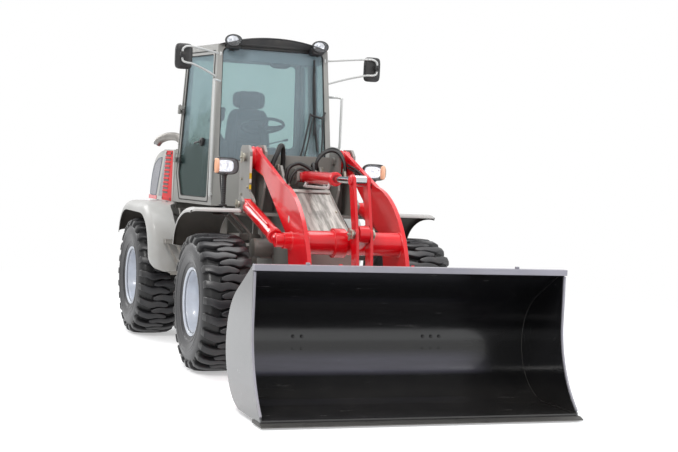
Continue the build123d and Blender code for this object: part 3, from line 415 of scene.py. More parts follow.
def woven(name, colour):
    """Cloth: two sine waves at right angles make the weave, and broad noise makes it uneven."""
    finish = Finish(name)
    warp, weft = finish.waves("X", 180.0), finish.waves("Z", 180.0)
    broad = finish.noise(8.0, 4.0)
    threads = warp * 0.5 + weft * 0.5
    base = finish.mix(threads * 0.5 + broad * 0.3, colour, scaled(colour, 2.1))
    weave = finish.bump(threads, 0.0008, 0.6)
    return finish.done(Base_Color=base, Roughness=broad * 0.1 + 0.8, Normal=weave, Sheen_Weight=0.3)


SEAT_CLOTH = woven("seat_cloth", tone(40, 41, 45))


# %% Glass and lenses
def pane(name, tint, veil, share, low=None):
    """Clear tinted glass under a glossy film. With low, the side panes darken to it below a wavy line, a
    painted reflection of trees; the others haze over.
    """
    finish = Finish(name)
    # low is a painted reflection of trees: the side panes darken to its dark green below a wavy line.
    if low:
        reach = finish.axis("X")
        side = finish.step(reach.absolute(), 0.470, 0.485)
        wander = finish.noise(3.4, 5.0, 0.62) * 0.9
        below = 1 - finish.step(finish.axis("Z") + wander, 1.95, 2.55)
        veil = finish.mix(side * below * 0.85, veil, low)
        share = (1 - side) * 0.09 + share
    film = finish.step(finish.noise(3.0, 5.0, 0.6), 0.40, 0.85)
    smears = finish.noise(1.0, 5.0, 0.6, finish.stretched((5.0, 5.0, 1.2)))
    facing = finish.add("ShaderNodeFresnel", {}, {"IOR": 1.45})
    clear = finish.add("ShaderNodeBsdfTransparent", {}, {"Color": tint})
    rough = film * 0.03 + 0.015
    values = {"Base Color": veil, "Roughness": rough, "Specular IOR Level": 0.8}
    gloss = finish.add("ShaderNodeBsdfPrincipled", {}, values)
    amount = (facing * 0.55 + film * smears * 0.10 + share).clamped()
    return finish.end(finish.add("ShaderNodeMixShader", {}, {0: amount, 1: clear, 2: gloss}))


# tone(34, 58, 46) is the dark green of a painted reflection of trees on the lower side panes.
CAB_GLASS = pane("cab_glass", (0.845, 0.950, 0.925, 1), tone(186, 199, 210), 0.150, tone(34, 58, 46))
CLEAR_LENS = pane("clear_lens", (0.98, 0.985, 0.99, 1), tone(244, 246, 248), 0.05)


# %% Lamp metals and bright tube
MIRROR_CHROME = bare_metal("lamp_chrome", tone(222, 224, 228), 0.06, (30.0, 30.0, 30.0), 0.1)
BRIGHT_TUBE = enamel("bright_tube", tone(206, 207, 205), 0.28, 0.4, 0.10)
TRIM_GREY = moulded("trim_grey", tone(124, 132, 142), 0.7, 300.0, 0.0004)
ZINC = bare_metal("zinc_fittings", tone(172, 168, 156), 0.32, (120.0, 120.0, 120.0), 0.5)
SHADOW_GREY = enamel("shadow_grey_enamel", tone(92, 90, 86), 0.5, 0.1, 0.45)
COVER_GREY = enamel("cover_grey_enamel", tone(168, 166, 160), 0.42, 0.2, 0.55)
AXLE_GREY = enamel("axle_grey_enamel", tone(104, 100, 95), 0.5, 0.1, 0.5)
# The sheets' inner faces: a dark brown of road dirt and painted shade under the sheet.
UNDERSIDE_DIRT_AND_SHADE = enamel("sheet_underside_dirt_and_shade", tone(58, 53, 47), 0.7, 0.0, 0.3)
LIP_GREY = enamel("lip_grey_enamel", tone(150, 148, 158), 0.35, 0.2, 0.3)
LABEL_WHITE = enamel("label_white", tone(226, 226, 220), 0.35, 0.3, 0.10)
LABEL_YELLOW = enamel("label_yellow", tone(232, 196, 24), 0.35, 0.3, 0.10)


def worn_sheet(name, colour):
    """Bare, handled sheet: streaks that run down the slope change the colour and the gloss."""
    finish = Finish(name)
    streaks = finish.noise(1.0, 5.0, 0.65, finish.stretched((26.0, 3.0, 3.0)))
    clouds = finish.noise(7.0, 5.0, 0.65)
    base = finish.mix(finish.step(streaks, 0.36, 0.66), colour, tone(196, 194, 188))
    base = finish.mix(finish.step(clouds, 0.55, 0.75) * 0.6, base, tone(84, 82, 78))
    rough, ridges = streaks * 0.25 + 0.22, finish.bump(streaks, 0.0008, 0.3)
    return finish.done(Base_Color=base, Metallic=0.35, Roughness=rough, Normal=ridges)


def lamp_silver():
    """A faceted silver bowl: cell noise tilts each facet, and a little glow stands for gathered light."""
    finish = Finish("lamp_silver")
    facets = finish.cells(70.0, {"feature": "SMOOTH_F1"})
    base = finish.mix(finish.step(facets, 0.2, 0.8), tone(246, 247, 250), tone(176, 178, 184))
    rough, tilt = facets * 0.1 + 0.22, finish.bump(facets, 0.004, 0.9)
    glow = {"Emission_Color": base, "Emission_Strength": 0.62}
    return finish.done(Base_Color=base, Metallic=0.5, Roughness=rough, Normal=tilt, **glow)


LAMP_SILVER = lamp_silver()
WORN_SHEET = worn_sheet("worn_sheet", tone(118, 116, 110))
PILLAR_GREY = enamel("pillar_grey_enamel", tone(146, 145, 141), 0.45, 0.15, 0.20)


def lens_plastic(name, colour, glow):
    """Moulded lens plastic: a clear coat over colour that fine vertical flutes stripe lighter as painted
    highlights, and a faint painted glow though the lamp is off.
    """
    finish = Finish(name)
    flutes = finish.waves("X", 60.0)
    base = finish.mix(flutes * 0.5 + finish.noise(20.0) * 0.2, colour, scaled(colour, 1.7))
    # The emission is a painted glow: the lamps are off.
    coat_and_painted_glow = {"Coat_Weight": 0.6, "Emission_Color": base, "Emission_Strength": glow}
    return finish.done(
        Base_Color=base, Roughness=flutes * 0.08 + 0.08, Normal=finish.bump(flutes, 0.0012, 0.6), **coat_and_painted_glow
    )


def perforated(name, colour):
    """Sheet with rows of holes that are painted shade: cell noise without randomness has its cells on a
    square grid.
    """
    finish = Finish(name)
    # The holes are painted dark grey: painted shade of the space behind the sheet.
    hole = 1 - finish.step(finish.cells(95.0, randomness=0.0), 0.26, 0.34)
    wear = finish.noise(6.0, 4.0, 0.6)
    base = finish.mix(finish.step(wear, 0.3, 0.75), scaled(colour, 0.85), colour)
    base = finish.mix(hole * 0.75, base, tone(48, 48, 52))
    return finish.done(Base_Color=base, Roughness=wear * 0.1 + 0.42, Normal=finish.bump(1 - hole, 0.001, 0.5))


PERFORATED = perforated("perforated_sheet", tone(166, 166, 172))
# Each lens's last number is the strength of its painted glow.
AMBER_LENS = lens_plastic("amber_lens", tone(226, 120, 30), 0.12)
PALE_AMBER = lens_plastic("pale_amber_lens", tone(222, 160, 128), 0.15)
RED_LENS = lens_plastic("red_lens", tone(176, 16, 18), 0.06)
print("materials", len(bpy.data.materials))

# %% [markdown]
# ## Painting the CAD nodes
# Each imported node has a slot in the record. Most nodes take the finish of their slot, and a few are named:
# most of them differ on the real machine, and the side boxes take a darker grey as painted shade under the
# cab.

# %% Finishes by slot
SLOT_FINISH = {
    "red_paint": RED,
    "grey_paint": WARM_GREY,
    "light_grey_paint": LIGHT_GREY,
    "black_paint": BUCKET_BLACK,
    "dark_metal": DARK_METAL,
    "chrome_rod": CHROME,
    "pin_steel": PIN_STEEL,
    "rim_silver": RIM_WHITE,
    "tyre": TYRE_RUBBER,
    "cast_iron": CASTING,
    "glass": CAB_GLASS,
    "seat_fabric": SEAT_CLOTH,
    "black_plastic": BLACK_PLASTIC,
    "lamp": BLACK_PLASTIC,
    "exhaust": EXHAUST_STEEL,
    "worn_steel": WORN_STEEL,
    "hose_rubber": HOSE_RUBBER,
}
NODE_FINISH = {
    "cab_frame": PILLAR_GREY,
    "cab_door_left": PILLAR_GREY,
    "cab_door_right": PILLAR_GREY,
    "front_cover": WORN_SHEET,
    "front_axle": AXLE_GREY,
    "rear_axle": AXLE_GREY,
    "front_frame": FRAME_GREY,
    "rear_frame": FRAME_GREY,
    # The side boxes take the darker frame grey as painted shade under the cab.
    "side_boxes": FRAME_GREY,
}
for row in record["subparts"]:
    node = frame["nodes"][row["node"]]
    node.data.materials.clear()
    node.data.materials.append(NODE_FINISH.get(row["node"], SLOT_FINISH[row["material_slot"]]))
print("painted", len(record["subparts"]), "nodes")

# %% [markdown]
# ## Surfaces from formulas
# Every new piece is built from bits. A bit is a pair: an array of points and a list of faces. Some bits are a
# grid of points, a function of two parameters, and some are an outline carried straight. A piece joins its
# bits into one mesh, merges doubled points and turns all faces outwards.

# %% Grids and outlines
def grid_faces(rows, cols, wrap_rows=False, wrap_cols=False):
    """The four corners of each cell of a rows by cols grid of points, as one array."""
    index = np.arange(rows * cols).reshape(rows, cols)
    if wrap_rows:
        index = np.vstack([index, index[:1]])
    if wrap_cols:
        index = np.hstack([index, index[:, :1]])
    cells = (index[:-1, :-1], index[1:, :-1], index[1:, 1:], index[:-1, 1:])
    return np.stack(cells, axis=-1).reshape(-1, 4).tolist()


def surface(points, wrap_rows=False, wrap_cols=False, caps=False):
    """A bit from a grid of points, shape (rows, cols, 3); caps closes the first and last row."""
    rows, cols = points.shape[:2]
    faces = grid_faces(rows, cols, wrap_rows, wrap_cols)
    if caps:
        faces += [list(range(cols)), list(range((rows - 1) * cols, rows * cols))]
    return points.reshape(-1, 3), faces


def prism(outline, start, step, side=(0, 1, 0), rise=(0, 0, 1)):
    """An outline of (side, rise) pairs set at start and carried by step."""
    flat = np.asarray(outline, float)
    base = np.asarray(start) + flat[:, :1] * np.asarray(side) + flat[:, 1:] * np.asarray(rise)
    return surface(np.stack([base, base + np.asarray(step)]), wrap_cols=True, caps=True)


def box(low, high):
    """A plain box between two corners, for pieces that a Bevel modifier rounds."""
    (x0, y0, z0), (x1, y1, z1) = low, high
    return prism([(y0, z0), (y1, z0), (y1, z1), (y0, z1)], (x0, 0, 0), (x1 - x0, 0, 0))


def frame_at(direction):
    """Two unit vectors at right angles to a direction."""
    d = np.asarray(direction, float) / np.linalg.norm(direction)
    helper = np.array([0, 0, 1.0]) if abs(d[2]) < 0.9 else np.array([0, 1.0, 0])
    first = np.cross(helper, d)
    first /= np.linalg.norm(first)
    return first, np.cross(d, first)


def turned(profile, centre, axis, sides=48, closed=False):
    """Turns (along, radius) points about an axis: centre + along * axis + radius * (cos a, sin a)."""
    flat = np.asarray(profile, float)
    d = np.asarray(axis, float) / np.linalg.norm(axis)
    first, second = frame_at(d)
    angle = np.linspace(0, 2 * math.pi, sides, endpoint=False)
    ring = np.cos(angle)[:, None] * first + np.sin(angle)[:, None] * second
    points = np.asarray(centre) + flat[:, None, :1] * d + flat[:, None, 1:] * ring
    return surface(points, wrap_rows=closed, wrap_cols=True, caps=not closed)


def smooth_path(points, count=40):
    """A Catmull-Rom curve through the points: each span is a cubic of its four neighbours."""
    p = np.asarray(points, float)
    p = np.vstack([2 * p[0] - p[1], p, 2 * p[-1] - p[-2]])
    t = np.linspace(0, len(p) - 3, count)
    i = np.minimum(t.astype(int), len(p) - 4)
    u = (t - i)[:, None]
    a, b, c, d = p[i], p[i + 1], p[i + 2], p[i + 3]
    return 0.5 * (2 * b + (c - a) * u + (2 * a - 5 * b + 4 * c - d) * u**2 + (3 * b - a - 3 * c + d) * u**3)


def path_frames(path):
    """Unit tangents of a path and two vectors across it, carried along with the least turning."""
    tangent = np.gradient(path, axis=0)
    tangent /= np.linalg.norm(tangent, axis=1)[:, None]
    first = np.empty_like(path)
    first[0] = frame_at(tangent[0])[0]
    for i in range(1, len(path)):
        across = first[i - 1] - tangent[i] * (first[i - 1] @ tangent[i])
        first[i] = across / np.linalg.norm(across)
    return tangent, first, np.cross(tangent, first)


def swept(path, outline, wrap=False):
    """An outline of (a, b) pairs carried along a path: point + a * first + b * second."""
    path = np.asarray(path, float)
    _, first, second = path_frames(path)
    flat = np.asarray(outline, float)
    points = path[:, None] + flat[None, :, :1] * first[:, None] + flat[None, :, 1:] * second[:, None]
    return surface(points, wrap_rows=wrap, wrap_cols=True, caps=not wrap)


def circle(radius, sides=12):
    angle = np.linspace(0, 2 * math.pi, sides, endpoint=False)
    return np.stack([radius * np.cos(angle), radius * np.sin(angle)], axis=1)


def pipe(points, radius, sides=12, count=40):
    """A round bar along a smooth curve through the points."""
    return swept(smooth_path(points, count), circle(radius, sides))


def rounded(width, height, corner, steps=5):
    """A rectangle's outline about its middle, its corners turned on quarter circles."""
    turn = np.linspace(0, math.pi / 2, steps)
    arc = np.stack([np.cos(turn), np.sin(turn)], axis=1) * corner
    half = np.array([width / 2 - corner, height / 2 - corner])
    quarters = [arc + half]
    for quarter_turn, sign in ((1, (-1, 1)), (2, (-1, -1)), (3, (1, -1))):
        c, s = math.cos(quarter_turn * math.pi / 2), math.sin(quarter_turn * math.pi / 2)
        quarters.append(arc @ np.array([[c, s], [-s, c]]) + half * sign)
    return np.vstack(quarters)


def pillow(low, high, power=4.0, rows=20, cols=36):
    """A rounded block: the superellipsoid |x|^p + |y|^p + |z|^p = 1 scaled to a box."""
    lift = np.linspace(-math.pi / 2, math.pi / 2, rows)[:, None]
    turn = np.linspace(0, 2 * math.pi, cols, endpoint=False)[None, :]
    flat = np.cos(lift)
    unit = np.stack(np.broadcast_arrays(flat * np.cos(turn), flat * np.sin(turn), np.sin(lift)), -1)
    size = (np.abs(unit) ** power).sum(-1, keepdims=True) ** (-1 / power)
    low, high = np.asarray(low, float), np.asarray(high, float)
    return surface((low + high) / 2 + unit * size * (high - low) / 2, wrap_cols=True)


def moved(bit, turn=None, about=(0, 0, 0), shift=(0, 0, 0)):
    """A bit turned by a 3 by 3 matrix about a point, then shifted."""
    points, faces = bit
    points = points - np.asarray(about)
    if turn is not None:
        points = points @ np.asarray(turn).T
    return points + np.asarray(about) + np.asarray(shift), faces


def mirrored(bit):
    """The same bit on the machine's other side; the piece turns its faces right later."""
    points, faces = bit
    return points * np.array([-1, 1, 1]), faces


def both_sides(bits):
    return bits + [mirrored(bit) for bit in bits]


SIDES = ((1, "left"), (-1, "right"))


def handed(bits, hand):
    """Bits drawn for the left side, mirrored when hand is -1."""
    return bits if hand > 0 else [mirrored(bit) for bit in bits]


def hex_bolt(place, direction, size=0.012, height=0.008):
    """A hexagon head with a chamfer, on a round washer."""
    d = np.asarray(direction, float) / np.linalg.norm(direction)
    rise = 0.002
    head = [(rise, size), (rise + height * 0.8, size), (rise + height, size * 0.82)]
    washer = [(0, size * 1.35), (rise, size * 1.35)]
    return [turned(head, place, d, 6), turned(washer, place, d, 14)]


def around(centre, axis, radius, count):
    """Places on a circle about an axis."""
    first, second = frame_at(axis)
    angle = 2 * math.pi * np.arange(count) / count
    return np.asarray(centre) + radius * (np.cos(angle)[:, None] * first + np.sin(angle)[:, None] * second)


# %% Pieces from bits
def joined(bits):
    """All bits' points in one array and their faces in one list."""
    points, faces, count = [], [], 0
    for bit_points, bit_faces in bits:
        points.append(bit_points)
        faces += [[i + count for i in face] for face in bit_faces]
        count += len(bit_points)
    return np.vstack(points), faces


MERGE_DISTANCE = 1e-5
BEVEL_ANGLE = math.radians(40)


def piece(name, bits, body, finish, bevel=0.0, smooth=40.0):
    """One Blender object from bits, riding on a body when one is given; bevel rounds its edges."""
    points, faces = joined(bits)
    mesh = bpy.data.meshes.new(name)
    mesh.from_pydata((points + STEER).tolist(), [], faces)
    work = bmesh.new()
    work.from_mesh(mesh)
    bmesh.ops.remove_doubles(work, verts=work.verts, dist=MERGE_DISTANCE)
    bmesh.ops.recalc_face_normals(work, faces=work.faces)
    work.to_mesh(mesh)
    work.free()
    mesh.shade_smooth()
    mesh.set_sharp_from_angle(angle=math.radians(smooth))
    mesh.materials.append(finish)
    thing = bpy.data.objects.new(name, mesh)
    bpy.context.collection.objects.link(thing)
    if bevel:
        rounding = thing.modifiers.new("rounding", "BEVEL")
        rounding.width = bevel
        rounding.segments = 2
        rounding.limit_method = "ANGLE"
        rounding.angle_limit = BEVEL_ANGLE
        rounding.harden_normals = True
    if body:
        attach(thing, body)
    print(name, len(mesh.vertices), "points on", body or "two bodies")
    return thing


# %% Ovals, lofts and loops
def oval(a, b, power=2.0, sides=40):
    """A superellipse |x/a|^p + |y/b|^p = 1, from a round oval at 2 to a soft rectangle at 6."""
    turn = np.linspace(0, 2 * math.pi, sides, endpoint=False)
    c, s = np.cos(turn), np.sin(turn)
    return np.stack(
        [a * np.sign(c) * np.abs(c) ** (2 / power), b * np.sign(s) * np.abs(s) ** (2 / power)], axis=1
    )


LEVEL = ((1, 0, 0), (0, 1, 0))  # side and rise of an outline that lies level


def loft(outlines, places, side=(1, 0, 0), rise=(0, 0, 1), wrap=False):
    """Skins a row of outlines, each a flat curve of (side, rise) pairs about its place."""
    side, rise = np.asarray(side), np.asarray(rise)
    rows = [np.asarray(p) + o[:, :1] * side + o[:, 1:] * rise for o, p in zip(outlines, places)]
    return surface(np.stack(rows), wrap_rows=wrap, wrap_cols=True, caps=not wrap)


def rounded_loop(corners, radius, steps=6):
    """A closed path through flat corners, each cut back by radius and turned on a quadratic curve."""
    p = np.asarray(corners, float)
    out = []
    for before, corner, after in zip(np.roll(p, 1, 0), p, np.roll(p, -1, 0)):
        start = corner + (before - corner) / np.linalg.norm(before - corner) * radius
        end = corner + (after - corner) / np.linalg.norm(after - corner) * radius
        t = np.linspace(0, 1, steps)[:, None]
        out.append((1 - t) ** 2 * start + 2 * t * (1 - t) * corner + t**2 * end)
    return np.vstack(out)


def bead(path, radius, sides=8):
    """A round bead along a closed path: a gasket or a weld."""
    return swept(path, circle(radius, sides), wrap=True)


def slab(outline, low, high, axis=0):
    """A plate: an outline of the two other coordinates, from low to high along an axis."""
    sides = {0: ((0, 1, 0), (0, 0, 1)), 1: ((1, 0, 0), (0, 0, 1)), 2: ((1, 0, 0), (0, 1, 0))}[axis]
    start, step = np.zeros(3), np.zeros(3)
    start[axis], step[axis] = low, high - low
    return prism(outline, start, step, *sides)

# %% [markdown]
# ## Tyres
# A loader tyre is a smooth carcass with deep lugs. The carcass is its cross-section turned about the axle.
# Each lug is a thick jagged bar that starts on one shoulder and ends past the middle, and the bars from the
# other shoulder fit between them. A lug is worked out flat, as u across the tread and s round it, and a
# formula then lays it on the crown: the crown curve gives its place at u, and s over the radius its turn.

# %% Crown and carcass
TYRE_LOW, TYRE_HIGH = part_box("tyre_front_left")
TYRE_R = (TYRE_HIGH.z - TYRE_LOW.z) / 2
HALF_W = (TYRE_HIGH.x - TYRE_LOW.x) / 2
LUG_DEPTH = 0.034
LUG_PITCHES = 25
CROWN = [(0.0, TYRE_R), (0.08, TYRE_R - 0.001), (0.135, TYRE_R - 0.005), (0.163, TYRE_R - 0.012),
         (0.180, TYRE_R - 0.026), (0.189, TYRE_R - 0.050), (0.1945, TYRE_R - 0.085), (HALF_W, TYRE_R - 0.120)]
print("tyre radius", round(TYRE_R, 3), "half width", round(HALF_W, 3))

crown_curve = smooth_path(CROWN, 80)
crown_run = np.concatenate([[0], np.cumsum(np.linalg.norm(np.diff(crown_curve, axis=0), axis=1))])


def crown_at(run):
    """The crown's (x, radius) at a run from its middle."""
    return np.stack([np.interp(run, crown_run, crown_curve[:, axis]) for axis in (0, 1)])


def on_crown(u, s, depth):
    """Lays tread places on the tyre: run |u| of the crown, moved in by depth and turned by s / TYRE_R."""
    run = np.abs(u)
    slope = crown_at(run + 0.003) - crown_at(np.maximum(run - 0.003, 0))
    slope /= np.linalg.norm(slope, axis=0)
    x, r = crown_at(run) + depth * np.stack([slope[1], -slope[0]])
    turn = s / TYRE_R
    return np.stack([x * np.where(u < 0, -1, 1), r * np.cos(turn), r * np.sin(turn)], axis=-1)


SIDE_WALL = [(0.176, 0.442), (0.189, 0.415), (0.197, 0.385), (0.194, 0.350), (0.186, 0.315), (0.175, 0.285),
             (0.168, 0.268), (0.166, 0.2575), (0.1590, 0.2562), (0.1585, 0.2293), (0.132, 0.2293)]
INNER_WALL = [(0.128, 0.262), (0.158, 0.330), (0.166, 0.385), (0.150, 0.435), (0.09, 0.458)]


def carcass():
    """The section between the lugs: groove floor, bulged side, bead and inside, mirrored about the middle."""
    runs = np.array([0.0, 0.05, 0.10, 0.14, 0.165])
    floor = on_crown(runs, np.zeros(5), np.full(5, LUG_DEPTH))[:, :2]
    half = [tuple(p) for p in floor] + SIDE_WALL + INNER_WALL + [(0.0, 0.460)]
    return half + [(-x, r) for x, r in reversed(half[1:-1])]


# %% Lugs
LUG_STATIONS = (0.0, 0.05, 0.16, 0.30, 0.47, 0.55, 0.68, 0.76, 0.88, 0.96, 1.0)
LUG_MIDDLE = (0.000, 0.000, 0.002, 0.012, 0.030, 0.031, 0.022, 0.022, 0.030, 0.033, 0.034)
LUG_HALF = (0.027, 0.029, 0.027, 0.027, 0.030, 0.030, 0.027, 0.025, 0.022, 0.015, 0.007)
LUG_EDGES = ((0.0070, LUG_DEPTH + 0.003), (0.0012, 0.005), (0.0, 0.0024), (-0.0018, 0.0008), (-0.0045, 0.0))


def lug(hand, index):
    """One lug: nested outlines from its foot to its top, each grown or shrunk and laid at a depth."""
    t = np.array(LUG_STATIONS)
    reach = 0.232 - t * 0.300
    pitch = 2 * math.pi * TYRE_R / LUG_PITCHES
    start = pitch * (index + (0.5 if hand < 0 else 0.0))
    rows = []
    for grow, depth in LUG_EDGES:
        half = np.array(LUG_HALF) + grow
        long_way = reach + np.where(t == 1, -grow, 0) + np.where(t == 0, grow, 0)
        middle = start + np.array(LUG_MIDDLE)
        u = np.concatenate([long_way, long_way[::-1]])
        s = np.concatenate([middle + half, (middle - half)[::-1]])
        rows.append(on_crown(u, s, np.full(len(u), depth)))
    points = np.stack(rows)
    points[..., 0] *= hand
    count = points.shape[1]
    flat, faces = surface(points, wrap_cols=True)
    top = (len(rows) - 1) * count
    for i in range(count // 2 - 1):
        faces += [[top + i, top + i + 1, top + count - 2 - i, top + count - 1 - i]]
        faces += [[i + 1, i, count - 1 - i, count - 2 - i]]
    return flat, faces


def tyre_bits(side):
    """Carcass, side rings and lugs about the origin, the axle along x; side mirrors the tread's hand."""
    bits = [turned(carcass(), (0, 0, 0), (1, 0, 0), 120, closed=True)]
    wall = np.array(SIDE_WALL[2:8])[::-1]
    for radius, height, width in ((0.372, 0.0015, 0.0025), (0.352, 0.0022, 0.003), (0.292, 0.005, 0.009)):
        x = np.interp(radius, wall[:, 1], wall[:, 0])
        ring = [
            (x - 0.004, radius - width), (x + height, radius - width / 2), (x + height, radius + width / 2),
            (x - 0.004, radius + width)
        ]
        for hand in (1, -1):
            bits.append(turned([(p * hand, r) for p, r in ring], (0, 0, 0), (1, 0, 0), 120, closed=True))
    bits += [lug(hand, i) for hand in (1, -1) for i in range(LUG_PITCHES)]
    return handed(bits, side)


def side_of(wheel):
    """1 for a wheel on the machine's left, -1 for one on its right."""
    return 1 if wheel.endswith("left") else -1


for wheel in WHEELS:
    bits = [moved(bit, shift=PIN["spin_" + wheel]) for bit in tyre_bits(side_of(wheel))]
    tread = piece("tyre_tread_" + wheel, bits, "wheel_" + wheel, TYRE_RUBBER, smooth=32)
    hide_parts("tyre_" + wheel)
    flat = np.empty(len(tread.data.vertices) * 3, np.float32)
    tread.data.vertices.foreach_get("co", flat)
    place = flat.reshape(-1, 3) - PLACES["spin_" + wheel]
    radius = np.hypot(place[:, 1], place[:, 2])
    # depth runs from 0 on the lug tops to 1 in the grooves, where the rubber takes painted shade.
    depth = np.clip((TYRE_R - 0.006 - radius) / LUG_DEPTH, 0, 1) * (radius > TYRE_R - LUG_DEPTH * 2.2)
    tread.data.attributes.new("depth", "FLOAT", "POINT").data.foreach_set("value", depth.astype(np.float32))

# %% [markdown]
# ## Wheels
# The wheel is a rolled steel rim: a curled flange, a bead seat, a well, and the disc welded deep inside.
# It is one closed section turned about the axle. Eight nuts on their studs, a hub cover and a valve follow.

# %% Rims, nuts, hub covers and valves
RIM_SECTION = [
    (0.1585, 0.2545), (0.1660, 0.2550), (0.1690, 0.2525), (0.1688, 0.2470), (0.1655, 0.2400),
    (0.1560, 0.2300), (0.1400, 0.2255), (0.1150, 0.2215), (0.0900, 0.2150), (0.0750, 0.2085),
    (0.0500, 0.2070), (0.0380, 0.2050), (0.0280, 0.1980), (0.0200, 0.1850), (0.0155, 0.1650),
    (0.0150, 0.1060), (0.0400, 0.0970), (0.0400, 0.0), (0.0245, 0.0), (0.0245, 0.0552), (-0.100, 0.0552),
    (-0.100, 0.105), (0.001, 0.105), (0.002, 0.186), (0.020, 0.204), (0.0400, 0.2110), (0.0700, 0.2150),
    (0.0900, 0.2230), (0.1250, 0.2288), (0.1580, 0.2288),
]
BACK_SECTION = [
    (0.0700, 0.2120), (0.0400, 0.2090), (0.0, 0.2170), (-0.1585, 0.2170), (-0.1690, 0.2400),
    (-0.1690, 0.2545), (-0.1600, 0.2545), (-0.1590, 0.2288), (0.0100, 0.2288),
]
NUTS, NUT_CIRCLE = 8, 0.1375
WELD_RING = [(0.0150, 0.121), (0.0185, 0.118), (0.0185, 0.111), (0.0150, 0.108)]
STUD = [(-0.004, 0.0), (-0.004, 0.009), (0.026, 0.009), (0.028, 0.0075), (0.028, 0.0)]
COVER = [(0.039, 0.0), (0.039, 0.086), (0.045, 0.086), (0.049, 0.080), (0.052, 0.044), (0.054, 0.0)]
NUT = [(0.0, 0.0092), (0.0, 0.0195), (0.0035, 0.0195), (0.0045, 0.0160), (0.0170, 0.0160), (0.0195, 0.0135),
       (0.0195, 0.0092)]
for wheel in WHEELS:
    side = side_of(wheel)
    hub, out, body = PIN["spin_" + wheel], np.array([side, 0, 0.0]), "wheel_" + wheel
    rim = [turned(section, hub, out, 96, closed=True) for section in (RIM_SECTION, BACK_SECTION)]
    rim.append(turned(WELD_RING, hub, out, 48, closed=True))
    steel = piece("rim_dish_" + wheel, rim, body, RIM_WHITE, smooth=38)
    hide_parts("rim_" + wheel)
    nuts = []
    for i in range(NUTS):
        turn = 2 * math.pi * (i + 0.5 * (side < 0)) / NUTS
        foot = hub + out * 0.015 + NUT_CIRCLE * np.array([0, math.cos(turn), math.sin(turn)])
        nuts += [turned(NUT, foot, out, 6, closed=True), turned(STUD, foot, out, 12)]
    piece("wheel_nuts_" + wheel, nuts, body, PIN_STEEL, smooth=30)
    cover = [turned(COVER, hub, out, 40)]
    for place in around(hub + out * 0.0475, out, 0.068, 6):
        cover += hex_bolt(place, out, 0.008, 0.005)
    piece("hub_cover_" + wheel, cover, body, RIM_WHITE, smooth=30)
    foot = hub + out * 0.055 + np.array([0, 0, 0.2065])
    stem = [foot, foot + out * 0.02 - (0, 0, 0.008), foot + out * 0.052 - (0, 0, 0.010)]
    piece("valve_" + wheel, [pipe(stem, 0.0045, 8, 10)], body, BLACK_RUBBER)

# %% [markdown]
# ## Cab glass, gaskets and trim
# The panes are CAD nodes and keep their shape. Each sits in a black rubber gasket: a round bead along the
# pane's rounded outline, laid on the cab's sloping wall by the wall's own plane formula.

# %% Gaskets
def cab_side(points, inset):
    """(y, z) places on the cab's side wall: its front and rear planes meet at the door's rear."""
    y, z = np.asarray(points)[:, 0], np.asarray(points)[:, 1]
    x = np.minimum(0.530 + 0.18 * (y - 0.05), 0.665 - 0.25 * (y - 0.82)) - 0.058 * (z - 1.2) - inset
    return np.stack([x, y, z], axis=1)


def cab_front(points, inset):
    """(x, z) places on the cab's front wall."""
    x, z = np.asarray(points)[:, 0], np.asarray(points)[:, 1]
    return np.stack([x, 0.05 + 0.1154 * (z - 1.2) + inset, z], axis=1)


def cab_back(points, inset):
    x, z = np.asarray(points)[:, 0], np.asarray(points)[:, 1]
    return np.stack([x, 1.085 - 0.04 * (z - 1.2) - inset, z], axis=1)


DOOR_PANE = [(0.156, 1.240), (0.269, 2.438), (0.760, 2.438), (0.760, 1.432), (0.668, 1.240)]
DOOR_EDGE = [(0.124, 1.212), (0.243, 2.464), (0.786, 2.464), (0.786, 1.422), (0.686, 1.212)]
QUARTER_PANE = [(0.868, 1.420), (0.868, 2.440), (1.020, 2.440), (1.040, 1.420)]
WINDSCREEN = [(-0.470, 1.560), (-0.442, 2.500), (0.442, 2.500), (0.470, 1.560)]
REAR_PANE = [(-0.500, 1.680), (-0.480, 2.440), (0.480, 2.440), (0.500, 1.680)]

quarter = bead(cab_side(rounded_loop(QUARTER_PANE, 0.035), 0.009), 0.008)
seals = both_sides([quarter])
seals.append(bead(cab_front(rounded_loop(WINDSCREEN, 0.055), 0.009), 0.0075))
seals.append(bead(cab_back(rounded_loop(REAR_PANE, 0.055), 0.009), 0.009))
piece("window_gaskets", seals, "rear_body", BLACK_RUBBER)
for hand, name in SIDES:
    trim = [bead(cab_side(rounded_loop(DOOR_PANE, 0.030), 0.008), 0.007)]
    trim.append(bead(cab_side(rounded_loop(DOOR_EDGE, 0.020), -0.001), 0.0035, 6))
    piece("door_gasket_" + name, handed(trim, hand), "door_" + name, BLACK_RUBBER)

# %% [markdown]
# ## Door locks, handles and hinge covers
# Each door has a round lock on the glass near its front edge, a pull handle inside, and black hinge covers.

# %% Door fittings
LOCK_BODY = [(-0.012, 0.034), (0.004, 0.036), (0.012, 0.034), (0.017, 0.026), (0.018, 0.0), (-0.012, 0.0)]
LOCK_KNOB = [(0.017, 0.014), (0.024, 0.013), (0.025, 0.0), (0.017, 0.0)]
GRIP = ((0.014, 0.0, 0.0), (0.03, 0.03, -0.004), (0.036, 0.10, -0.012), (0.026, 0.13, -0.014))
INNER_PULL = ((0.30, 1.40, 0.03), (0.31, 1.42, 0.07), (0.33, 1.86, 0.07), (0.33, 1.88, 0.03))
HINGE_COVER = [oval(0.030, 0.024, 4), oval(0.030, 0.024, 4), oval(0.024, 0.018, 4)]
wall, out = cab_side([(0.335, 1.705)], 0.0)[0], np.array([1, -0.18, 0.058])
lock = [turned(LOCK_BODY, wall, out, 36), turned(LOCK_KNOB, wall, out, 24)]
lock.append(pipe([wall + step for step in GRIP], 0.009, 10, 20))
